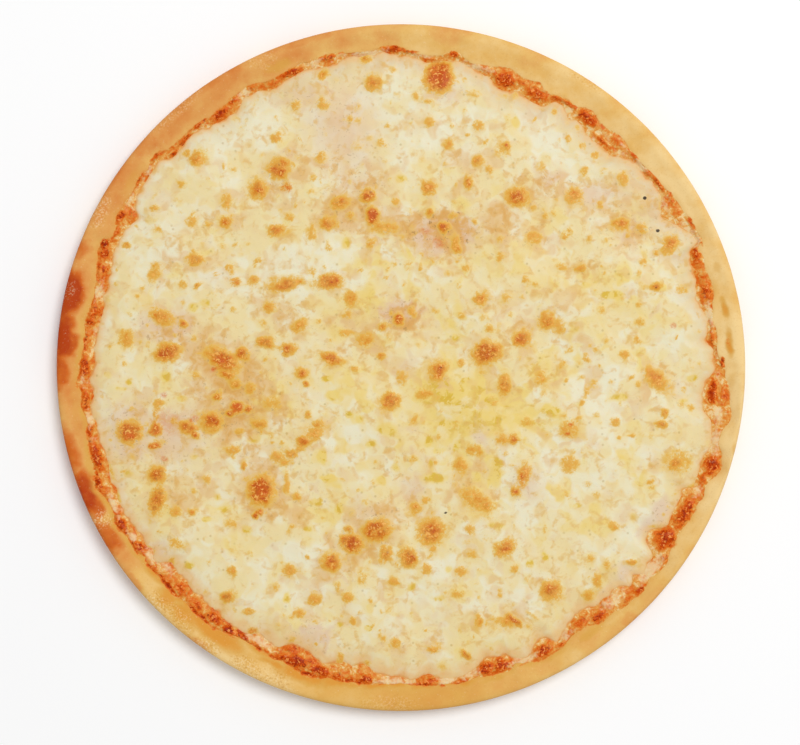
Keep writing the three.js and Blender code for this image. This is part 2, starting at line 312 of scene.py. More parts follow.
# Lumps: angle, radius, half length, half breadth, redness
sauceLumps = [
    (1.1, 140, 2.2, 1, 0.85), (5.3, 135.8, 3, 1.5, 0.75), (7.5, 136.5, 3, 0.8, 0.5),
    (4.8, 142.6, 2.6, 1.2, 0.4), (14, 137, 4.4, 2.6, 0.95), (13, 134.2, 3, 1.2, 0.6),
    (17.5, 138, 3.4, 2, 0.5), (20.7, 137.3, 4, 2.4, 0.9), (22.7, 141.4, 1.6, 0.8, 0.45),
    (26.5, 141, 4, 1, 0.8), (29.5, 138, 4, 2.6, 0.45), (32, 139, 4, 1.2, 0.7), (35.5, 137.8, 5, 0.8, 0.8),
    (38.3, 136.6, 2.6, 1.1, 0.6), (42.5, 136.8, 3.4, 0.9, 0.65), (46, 136, 5, 2, 0.6),
    (48, 131.8, 6, 1, 0.75), (50, 136.3, 2.6, 1.6, 0.6), (53.2, 135.5, 5.4, 2.9, 1.1),
    (57.7, 136, 5, 0.9, 0.85), (60.4, 135.2, 1.6, 0.9, 0.85), (63.6, 133, 5, 2.9, 1),
    (67, 134.5, 3, 1.6, 0.65), (70.2, 133.2, 5.2, 3.6, 1.1), (74, 135, 4, 1.3, 0.55),
    (80.5, 138, 3.6, 1.3, 0.85), (84, 134.6, 4, 0.6, 0.5), (88.5, 137.4, 4, 0.8, 0.75),
    (91.5, 138.4, 4.6, 1.6, 1.05), (103.3, 138.6, 3.6, 1.3, 0.8), (101, 139, 2.4, 0.8, 0.5),
    (110.4, 136.9, 5, 1.6, 1), (114, 135.2, 4, 1, 0.6), (117.6, 138, 3, 1, 0.65),
    (122.3, 137, 2.6, 1.6, 0.75), (125.3, 135.2, 5, 2, 1.1), (129.5, 137.3, 4.6, 0.8, 0.8),
    (133.5, 136.7, 5, 1, 0.85), (136.8, 135.8, 2.4, 1, 0.9), (139.3, 140.8, 4, 0.9, 0.75),
    (144.2, 140, 3.4, 0.9, 0.7), (151.8, 138.4, 3.4, 2, 1), (151, 133.5, 2.4, 1.6, 0.5),
    (154.6, 136.8, 3, 1, 0.65), (157.4, 139.6, 2.4, 2, 1.3), (158.8, 138.2, 3.4, 2.6, 1.05),
    (162, 136, 3, 2.2, 0.85), (164.6, 134.8, 2, 1.4, 0.55), (170, 135.6, 6, 2, 0.9),
    (171.5, 136.3, 2.4, 1.3, 1.1), (174.6, 136, 4, 1.3, 0.55), (179.8, 137.4, 5, 2.6, 1),
    (178.5, 134.6, 3, 1.2, 0.5), (183, 141, 2.4, 0.7, 0.55), (186, 137.8, 5, 2.4, 0.85),
    (191.3, 137.3, 2.6, 1.6, 0.75), (196.2, 137.9, 6.4, 2.4, 1.15), (201, 141, 4.4, 2, 1),
    (204.2, 138, 2.6, 2, 0.5), (209.4, 139.5, 4, 2.2, 1.15), (214.5, 138.3, 3.4, 2.1, 1),
    (219, 138, 3.6, 0.9, 0.65), (222, 137, 3.4, 2.2, 0.6), (225.2, 135.8, 4, 2.4, 1),
    (229, 136, 4.4, 2.6, 0.75), (233.4, 135.8, 4.6, 2.4, 1.05), (236.6, 136.5, 4, 2, 1.3),
    (239, 135.6, 5, 1.2, 1), (242.6, 136, 5, 0.9, 0.5), (247.5, 136.4, 4, 1.4, 0.9),
    (250.5, 135.4, 6, 2.8, 1.2), (249, 131, 3, 3.4, 0.85), (254.8, 136.2, 6.4, 2, 1.2),
    (253, 133.4, 4, 1.6, 0.8), (258.4, 137, 3, 2.2, 0.85), (261, 136.2, 3, 1.2, 0.6),
    (263.6, 136.3, 3, 2, 1.05), (266, 136.4, 2, 1, 0.6), (275.3, 137, 3.6, 1.7, 0.95),
    (281, 138.7, 3.4, 0.9, 0.8), (285.8, 136, 4, 3, 1.05), (288.7, 136.4, 3.4, 3, 1.15),
    (292.5, 139.6, 4, 0.6, 0.45), (296.8, 137.8, 4.2, 2.9, 1), (300, 139.3, 2.4, 1.1, 0.9),
    (305.3, 135.6, 4.6, 2.6, 0.75), (308.5, 138.2, 4.4, 2.4, 0.95), (311.2, 136.8, 2.4, 2.2, 0.7),
    (314, 141, 4.4, 1.2, 0.6), (317.2, 141.8, 3.4, 1.2, 0.9), (324, 141.8, 2.6, 1.3, 0.8),
    (327, 137, 5, 4.6, 1.15), (333, 138.6, 8, 2.8, 1.1), (339.8, 140.2, 3, 2, 0.75),
    (342.6, 141.6, 4.6, 3.4, 1.15), (351.8, 143.8, 3.4, 1.3, 0.6), (355.2, 141.4, 5.4, 2.4, 0.7),
    (355.5, 135.8, 5.4, 2.2, 1.2),
]

# Where a film of cheese lies over the sauce and little sauce shows, in the same form
cheeseFilms = [
    (2.5, 138, 5, 1.6, 0.5), (9.5, 136.5, 6, 1.8, 0.9), (11.2, 136.6, 2, 0.9, 0.8),
    (23.7, 139.5, 3.6, 2.6, 1), (32, 134.6, 5, 1.6, 0.7), (40, 136.8, 4, 1.4, 0.9), (45, 137, 3, 1, 0.7),
    (58.5, 132.5, 4.6, 1.8, 0.6), (76, 135.2, 7, 2, 0.75), (86, 136, 7, 0.9, 0.7), (97, 137.8, 8, 1.6, 1),
    (105.6, 138, 3.6, 1.8, 0.8), (120, 137.6, 4, 1.8, 0.7), (130.5, 135.6, 5, 1, 0.5),
    (141.8, 139.4, 3, 1.2, 0.8), (148, 138.6, 5, 1, 0.7), (165.8, 135.6, 4, 2.6, 0.8),
    (182.4, 138.4, 2.6, 2.6, 0.6), (189.4, 137.5, 3, 2, 1), (193, 137.6, 1.6, 2, 0.5),
    (205.6, 138.4, 5, 1.8, 0.9), (212, 138.2, 2.6, 1.6, 0.9), (217, 136.6, 4, 1.8, 0.9),
    (220, 134, 5, 2.4, 0.7), (242.5, 133.8, 8, 2, 0.8), (268.5, 136.8, 8, 1.6, 0.95),
    (278.3, 137.6, 3.6, 1.8, 1.1), (282.6, 136.4, 4.6, 2.2, 0.8), (292.8, 138, 6, 1.8, 0.9),
    (301.5, 137, 4, 1.8, 0.8), (312.6, 136.8, 6, 2.4, 0.85), (321, 140, 7, 3, 1),
    (337.4, 140.2, 3, 1.8, 0.6), (346.8, 141, 6, 3, 0.9), (351.4, 139.4, 3.4, 2, 0.8),
]


def rednessAt(x, y, angle, radius):
    # Redness of the sauce, also where it runs over the rim or the cheese: its lumps, and a line at
    # the rim that comes and goes, a bell e^(-d^2) across with its breadth and strength drifting
    fray = 0.9 * rough(x, y, 2.6, 80)
    lumps = spread(x, y, alongRing(sauceLumps), lambda reach: np.exp(-0.9 * np.maximum(reach, 0) ** 2.5),
                   fray)
    breadth = 1.1 + 0.5 * rough(x, y, 7, 84)
    inward = aroundRing(angle, sauceLine) - 0.85 - radius + 0.6 * drift(x, y, 4, 86)
    line = np.exp(-(inward / breadth) ** 2) * aroundRing(angle, seamLine)
    bare = spread(x, y, alongRing(cheeseFilms), softEdge(0.6), fray)
    return np.maximum(lumps, line * (1 + 0.7 * rough(x, y, 9, 87)) * (1 - 0.8 * bare))


def sauceColour(tree, place, redness):
    # Thick sauce is dark red, thin sauce orange and then the tan of oily dough. Pulp of 1 to 2 mm
    # breaks it up, and a finer grain noise puts painted highlights for wet glints where it is high and the
    # deepest red where it is low.
    # Gives the colour and the broken-up redness.
    grain, pulp = (addNode(tree, "TexNoise", {
        "Vector": place, "Scale": 1000 / size, "Detail": detail, "Roughness": 0.6, "Distortion": 0.8})
        for size, detail in ((1.3, 2), (2.4, 3)))
    tone = addUp(tree, -0.8, (redness, 0.66), (grain, 0.5), (pulp, 1.1))
    body = addNode(tree, "ValToRGB", {"stops": sauce["stops"], 0: tone})
    thick = (redness, 0.35, 0.85)
    return overlay(tree, body, [
        (sauce["gaps"], (grain, 0.46, 0.37, 0, 0.8), thick),
        (sauce["paintedHighlight"], (grain, 0.56, 0.64, 0, 0.85), thick)]), tone


crust = {
    "radius": 150.0,
    "stretch": 0.00125,  # share by which the round is longer along X and shorter along Y
    "inset": 0.08,  # room for the relief inside the widest line
    "rimHeight": 12.0,
    "rimDrift": 0.5,
    "crownPlace": 0.68,  # share of the way from the sauce to the widest line
    "lumps": 0.16,  # height of the slow unevenness of the baked skin
    "paleSide": 60.0,  # direction of painted light on the seam, whose inner slope faces away from the lamp there, and of painted shade on the outer edge, which faces the lamp there
    "bakedStops": [(0.0, "F0CE8E"), (0.25, "E6B767"), (0.5, "DE9A50"), (0.8, "D0681C"), (1.0, "B43E00")],
    "undersideStops": [(0.3, "E3BC7C"), (0.5, "CF9448"), (0.62, "A9642A"), (0.75, "7C4018")],
    "ochre": "D9A346",
    "stain": "DC922E",
    "pits": "B87C38",
    "dust": "F5DEB0",
    "specks": "F8E2B8",
}

# How far the rim is baked, and how much oil is in it, every 15 degrees
rimBake = [-0.03, 0.18, 0, 0.17, 0.22, 0.2, 0.28, 0.43, 0.48, 0.5, 0.46, 0.5,
           0.42, 0.44, 0.42, 0.2, 0.16, 0.22, 0.36, 0.36, 0.24, 0.34, 0.18, -0.04]
rimOil = [0, 0.05, 0, 0, 0.05, 0.1, 0, 0, 0, 0, 0, 0,
          0, 0, 0.1, 0.3, 0.1, 0.5, 0.7, 0.55, 0.25, 0.3, 0.1, 0]

# How much oil lies along the sauce, every 30 degrees
seamOil = [0.25, 0.3, 0.2, 0.2, 0.1, 0.3, 0.7, 0.9, 1.2, 1.2, 0.6, 0.3]

# Browned patches that follow the rim: angle, radius, half length, half breadth, strength
rimPatches = [
    (107, 148, 22, 3, 0.56), (126, 148, 22, 3, 0.56), (139, 147, 10, 6, 0.64), (152.5, 147, 9, 4, 0.6),
    (159.4, 147.5, 6, 4.6, 0.72), (167.5, 148, 14, 8, 1), (174, 147.4, 15, 6.4, 0.98),
    (175.5, 144.5, 9, 5, 0.9), (180.5, 148.5, 10, 6, 0.82), (194.5, 149, 15, 5.8, 0.8),
    (202, 147, 13, 6.6, 1), (204.5, 145.5, 7, 5, 0.9), (200, 144, 5, 3.4, 0.8), (210, 147, 9, 7, 0.84),
    (312.3, 148, 5, 4.5, 0.5), (234.5, 148, 7, 2.6, 0.46), (219, 148.5, 6, 2.6, 0.52),
]

# Oil and sauce soaked into the dough, and floury crackled places, in the same form
oilStains = [
    (224.8, 142, 6, 5, 1.3), (229, 142, 10, 5, 1.3), (235, 140.5, 16, 4.4, 1.6), (252.5, 140, 14, 4, 1.5),
    (257.5, 140, 6, 2, 1.3), (262, 139.5, 8, 1.6, 1.2), (4, 143, 5, 1.5, 1.45),
    (10.5, 142.8, 4.5, 1.3, 1.3), (17.5, 144, 3, 1.5, 0.6), (82, 139.5, 8, 2.4, 0.4),
    (112, 141.5, 6, 2.4, 0.8), (145, 142, 8, 2.4, 0.5), (346.5, 148.5, 3, 1.6, 0.7),
    (344.7, 143, 3, 2.4, 0.7), (321.5, 142.3, 4, 1.6, 0.7), (358, 144, 5, 1.6, 0.5),
    (31, 140.5, 5, 1.4, 0.5), (187, 142.5, 14, 1.6, 0.4), (204, 141, 5, 1.6, 0.6), (270, 144, 30, 4, 0.3),
    (198, 142, 6, 1.4, 0.7), (247, 140, 8, 1.6, 1.4), (287, 141, 6, 1.4, 1), (306, 141.5, 8, 2, 0.9),
]

flouryPlaces = [
    (223.5, 147, 5, 3, 0.9), (235.3, 147.5, 6, 3, 0.9), (242, 146.5, 5, 4, 0.8), (244.7, 147, 5, 3, 0.8),
    (207, 145.5, 3.6, 4, 0.9), (152.4, 146.5, 7, 3, 0.8), (131, 147.5, 12, 2, 0.5), (167, 147.5, 4, 2, 0.5),
    (57, 148, 8, 2, 0.4), (268, 146, 12, 3, 0.4), (114, 146, 6, 3, 0.4), (228, 146, 9, 4, 0.6),
    (246, 146.5, 14, 4, 0.6),
]


def rimTop(angle):
    # 12 mm with four slow waves of 2, 3, 5 and 9 turns round the pizza
    waves = [np.sin(count * np.radians(angle) + fullTurn * share)
             for count, share in zip((2, 3, 5, 9), randomShares(11, 4))]
    return crust["rimHeight"] + crust["rimDrift"] * sum(waves) / 4


def threadRings(controls, places):
    # A Catmull-Rom curve through rings of points: place 2.5 is halfway from ring 2 to ring 3
    controls = np.array(controls)
    before = np.clip(np.floor(places).astype(int), 0, len(controls) - 2)
    t = (places - before)[:, None]
    a, b, c, d = (controls[np.clip(before + n, 0, len(controls) - 1)] for n in (-1, 0, 1, 2))
    return b + 0.5 * t * (c - a + t * (2 * a - 5 * b + 4 * c - d + t * (3 * (b - c) + d - a)))


def crustRings(angle):
    # Radius and height of the skin's rings: out along the flat underside, up the rounded edge, over
    # the rim and down under the sauce. Also the numbers of the first ring that leaves the underside
    # and of the ring where the sauce meets the rim.
    level = np.zeros_like(angle)
    edge = crust["radius"] * (1 + crust["stretch"] * np.cos(2 * np.radians(angle))) - crust["inset"]
    seamRadius = aroundRing(angle, sauceLine)
    top = rimTop(angle) - 0.25
    crown = seamRadius + crust["crownPlace"] * (edge - seamRadius)
    seam, floor = level + layers["seam"], level + layers["doughTop"]
    radii = [edge - 8, edge - 4.5, edge - 1.2, edge, edge - 0.2, edge - 1, crown,
             0.5 * (seamRadius + crown), seamRadius, seamRadius - 0.7, seamRadius - 1.4,
             seamRadius - 2.2, seamRadius - 3.5, seamRadius - 6]
    heights = [level, level, 0.11 * top, 0.35 * top, 0.72 * top, 0.95 * top, top,
               seam + 0.56 * (top - seam), seam, seam - 0.65, seam - 2, floor + 0.7, floor, floor]
    places = np.concatenate([
        np.linspace(0, 1, 3, endpoint=False), np.linspace(1, 4, 15, endpoint=False),
        np.linspace(4, 8, 44, endpoint=False), np.linspace(8, 13, 11)])
    under = (edge - 8) * np.linspace(0.1, 0.95, 8)[:, None]
    radius = np.vstack([under, threadRings(radii, places)])
    height = np.vstack([0 * under, threadRings(heights, places)])
    return radius, np.maximum(height, 0), len(under) + 3, len(under) + 62


def bakedDough():
    # Wheat dough baked on a floured sheet: a dry, soft, golden skin with fine pores and flour dust,
    # which the eye reads from its broad soft light and its slow change from gold to brown
    material, tree = newMaterial("bakedDough")
    place = addNode(tree, "TexCoord", {}, 3)
    bake, oil, flour, under, redness = (
        addNode(tree, "Attribute", {"attribute_name": name}, 2)
        for name in ("bake", "oil", "flour", "under", "redness"))
    broad, small, grain = (addNode(tree, "TexNoise", {
        "Vector": place, "Scale": 1000 / size, "Detail": detail, "Roughness": roughness})
        for size, detail, roughness in ((14, 3, 0.5), (2.6, 4, 0.6), (0.8, 2, 0.5)))
    baked = addUp(tree, -0.45, (broad, 0.7), (small, 0.2), (bake, 1))
    skin = addNode(tree, "ValToRGB", {"stops": crust["bakedStops"], 0: baked})
    below = addNode(tree, "ValToRGB", {"stops": crust["undersideStops"], 0: broad})
    saucy, tone = sauceColour(tree, place, redness)
    colour = overlay(tree, skin, [
        (crust["ochre"], (oil, 0, 1, 0, 0.8)),
        (crust["stain"], (oil, 0.8, 1.5, 0, 0.85)),
        (crust["pits"], (grain, 0.42, 0.3, 0, 0.5), (flour, 0, 0.6, 0.3, 1)),
        (crust["dust"], flour, (grain, 0.5, 0.64, 0, 0.55)),
        (crust["specks"], (grain, 0.64, 0.78, 0, 0.25)),
        (saucy, (addUp(tree, redness, (tone, 0.5)), 0.25, 0.68)),
        (below, under)])
    relief = addNode(tree, "Bump", {
        "Strength": 0.35, "Distance": 0.00025, "Height": addUp(tree, small, (grain, 0.4))})
    shader = addNode(tree, "BsdfPrincipled", {
        "Base Color": colour, "Normal": relief, "Roughness": 0.68, "IOR": 1.45, "Specular IOR Level": 0.2})
    addNode(tree, "OutputMaterial", {"Surface": shader})
    return material


def makeCrust():
    # The skin's rings with the slow unevenness of baked dough, and the masks that colour them
    angle = np.arange(layers["steps"]) * 360 / layers["steps"]
    radius, height, outside = crustRings(angle)[:3]
    turn = np.radians(angle)
    x, y = radius * np.cos(turn), radius * np.sin(turn)
    near = radius - aroundRing(angle, sauceLine)
    height = height + smooth(height / 3) * smooth(near / 3) * (
        crust["lumps"] * (rough(x, y, 13, 40) - 0.8) + 0.05 * drift(x, y, 3.4, 47))
    fray = 1.4 * rough(x, y, 5, 50)
    bake = aroundRing(angle, rimBake) + 0.07 * rough(x, y, 22, 54)
    # The seam is paler all round, partly dough left underbaked in the crease and partly painted light for
    # the shade on its inner slope. Towards paleSide the seam gets more painted light, and the outer edge,
    # which faces the lamp there, is browned as painted shade.
    paintedShadingWeight = 0.5 + 0.5 * np.cos(turn - math.radians(crust["paleSide"]))
    bake = bake * (1 - 0.25 * smooth(1 - near / 3.5)) + 0.1 * smooth(1 - near / 3) * (
        1 - paintedShadingWeight) + 0.08 * smooth((radius - 146) / 3) * paintedShadingWeight
    bake = np.maximum(bake, spread(x, y, alongRing(rimPatches), softEdge(0.6), fray))
    points, faces = roundPiece(radius, height, angle, 0, layers["doughTop"])
    soaked = aroundRing(angle, rimOil) + 0.15 * rough(x, y, 16, 58)
    soaked = np.maximum(soaked, aroundRing(angle, seamOil) * smooth(1 - near / 4) * (
        1 + 0.5 * rough(x, y, 8, 60)))
    masks = {
        "bake": bake,
        "oil": np.maximum(soaked, spread(x, y, alongRing(oilStains), softEdge(0.8), fray)),
        "flour": spread(x, y, alongRing(flouryPlaces), softEdge(0.5), fray),
        "redness": rednessAt(x, y, angle, radius) * (height > 6),
        "under": (1 - smooth((height - 0.3) / 2)) * (np.arange(len(radius)) < outside + 10)[:, None],
    }
    masks = {name: np.append(values.ravel(), [name == "under", 0]) for name, values in masks.items()}
    makePiece("bakedCrust", points, faces, masks, bakedDough(), "crust")


def cookedSauce():
    # Tomato sauce cooked down at the edge: wet pulp with orange oil, dark red where it is thick and
    # tan where it is thin, with small painted highlights for its wet glints and a coarse change of colour
    material, tree = newMaterial("cookedTomatoSauce")
    place = addNode(tree, "TexCoord", {}, 3)
    redness, pale = (
        addNode(tree, "Attribute", {"attribute_name": name}, 2) for name in ("redness", "pale"))
    body = sauceColour(tree, place, redness)[0]
    grain = addNode(tree, "TexNoise", {"Vector": place, "Scale": 1000 / 1.6, "Detail": 2})
    filmed = addUp(tree, -0.8, (pale, 1), (grain, 1.6))
    colour = overlay(tree, body, [(sauce["film"], (filmed, 0.2, 1, 0, 0.8))])
    relief = addNode(tree, "Bump", {"Strength": 0.4, "Distance": 0.0004, "Height": grain})
    shader = addNode(tree, "BsdfPrincipled", {
        "Base Color": colour, "Normal": relief, "Roughness": 0.34, "IOR": 1.4, "Specular IOR Level": 0.1,
        "Subsurface Weight": 0.12, "Subsurface Radius": (1, 0.3, 0.12), "Subsurface Scale": 0.0012})
    addNode(tree, "OutputMaterial", {"Surface": shader})
    return material


def makeSauce():
    # Rings from the middle of the underside out over the dough, round the thin edge that is tucked
    # into the rim, in over the surface that shows and down again under the cheese
    angle = np.arange(layers["steps"]) * 360 / layers["steps"]
    doughRadius, doughHeight, _, seamRing = crustRings(angle)
    inner, outer = aroundRing(angle, cheeseLine), aroundRing(angle, sauceLine) + 0.25
    turn = np.radians(angle)
    share = np.linspace(1, 0, sauce["rows"])[:, None]
    radius = inner + share * (outer - inner)
    x, y = radius * np.cos(turn), radius * np.sin(turn)
    redness = rednessAt(x, y, angle, radius)
    lump = spread(x, y, alongRing(sauceLumps), softEdge(0.6), 0.6 * rough(x, y, 2.6, 80))
    films = spread(x, y, alongRing(cheeseFilms), softEdge(0.9), rough(x, y, 2.6, 82))
    inside = np.minimum(1, 3.2 * np.minimum(share, 1 - share))
    surface = layers["shore"] + share * (layers["seam"] - 0.5 * layers["tuck"] - layers["shore"])
    relief = 0.25 * films + 0.14 * drift(x, y, 2.7, 81) + 0.07 * drift(x, y, 1.2, 83)
    surface = surface + inside * (sauce["lumpHeight"] * lump + relief)
    below = slice(len(doughRadius) - 1, seamRing, -1)
    level = np.zeros_like(angle)
    radii = np.vstack([doughRadius[below], radius, [inner - 0.8, inner - 2, inner - 3.5]])
    heights = np.vstack([
        doughHeight[below] + layers["gap"], surface,
        [level + layers["shore"] - 0.1, level + sauce["foldHeight"], level + layers["sauceTop"]]])
    points, faces = roundPiece(radii, heights, angle, layers["doughTop"] + layers["gap"], layers["sauceTop"])
    wash = 0.14 + 0.33 * aroundRing(angle, seamLine) + 0.3 * rough(x, y, 7, 88)
    bare = (1 - smooth(redness / 0.5)) * (0.1 + 0.6 * rough(x, y, 8, 89))
    films = np.maximum(films, bare) * smooth((1 - share) / 0.3) * smooth((outer - inner - 0.6) / 1.6)
    lower, upper = len(doughRadius[below]), 3
    masks = {}
    for name, values in {"redness": np.maximum(redness, wash), "pale": films}.items():
        rows = np.vstack([values[:1]] * lower + [values] + [values[-1:]] * upper)
        masks[name] = np.append(rows.ravel(), [0, 0])
    makePiece("sauceRing", points, faces, masks, cookedSauce(), "sauce")


cheese = {
    "cells": 300,
    "edgeCrowding": 0.12,
    "thickness": 2.9,
    "swell": 0.35,
    "shortestSwell": 28.0,
    "swellSpread": 45.0,
    "overlap": 0.5,  # how far the sheet runs out under the sauce's surface
    "sunk": 0.35,
    "fleckReach": 132.0,  # radius of the area with small random flecks
    "paintedShadeSide": 60.0,  # direction in which the edge slope faces the lamp and is given painted shade
    "paleSide": 150.0,  # direction in which the edge is pale
    "edgeFall": 11.0,  # how far in from the edge the surface starts to fall away
    "blisterHeight": 0.6,
    "wall": 0.3,  # height of the wall round the edge
    "slope": 3.5,  # how far in the underside becomes flat
    "cream": "E9D6A0",
    "white": "E9E2C4",
    "butter": "E9CB6A",
    "oil": "D6B034",
    "tan": "DFB77C",
    "film": "DEC0A4",
    # colour of the painted shade on the edge slope that faces the lamp
    "thin": "D6C09E",
    "soaked": "E6BE82",
    "stained": "E09A50",
    "fat": "DBB63C",
    "fleck": "DDB05C",
    "speck": "B08E40",
    "tanFleck": "D8A050",
    "grit": "A07840",
    "skinStops": [
        (0.12, "EBD082"), (0.28, "E4BA5A"), (0.4, "E1AD48"), (0.52, "DFA33C"), (0.63, "DC962C"),
        (0.75, "D8841C"), (0.87, "D3720E"), (1.0, "BC4C00")],
    "net": "B45006",
    "reddish": "D25A14",
    # painted highlight on the crinkles of toasted blisters
    "paintedHighlight": "F2BC5E",
    "dark": "2E1C0A",
}

# How far in from its edge the cheese has soaked up sauce and oil, every 30 degrees
soakedReach = [6, 6, 7, 7, 6, 5, 7, 9, 12, 12, 10, 7]

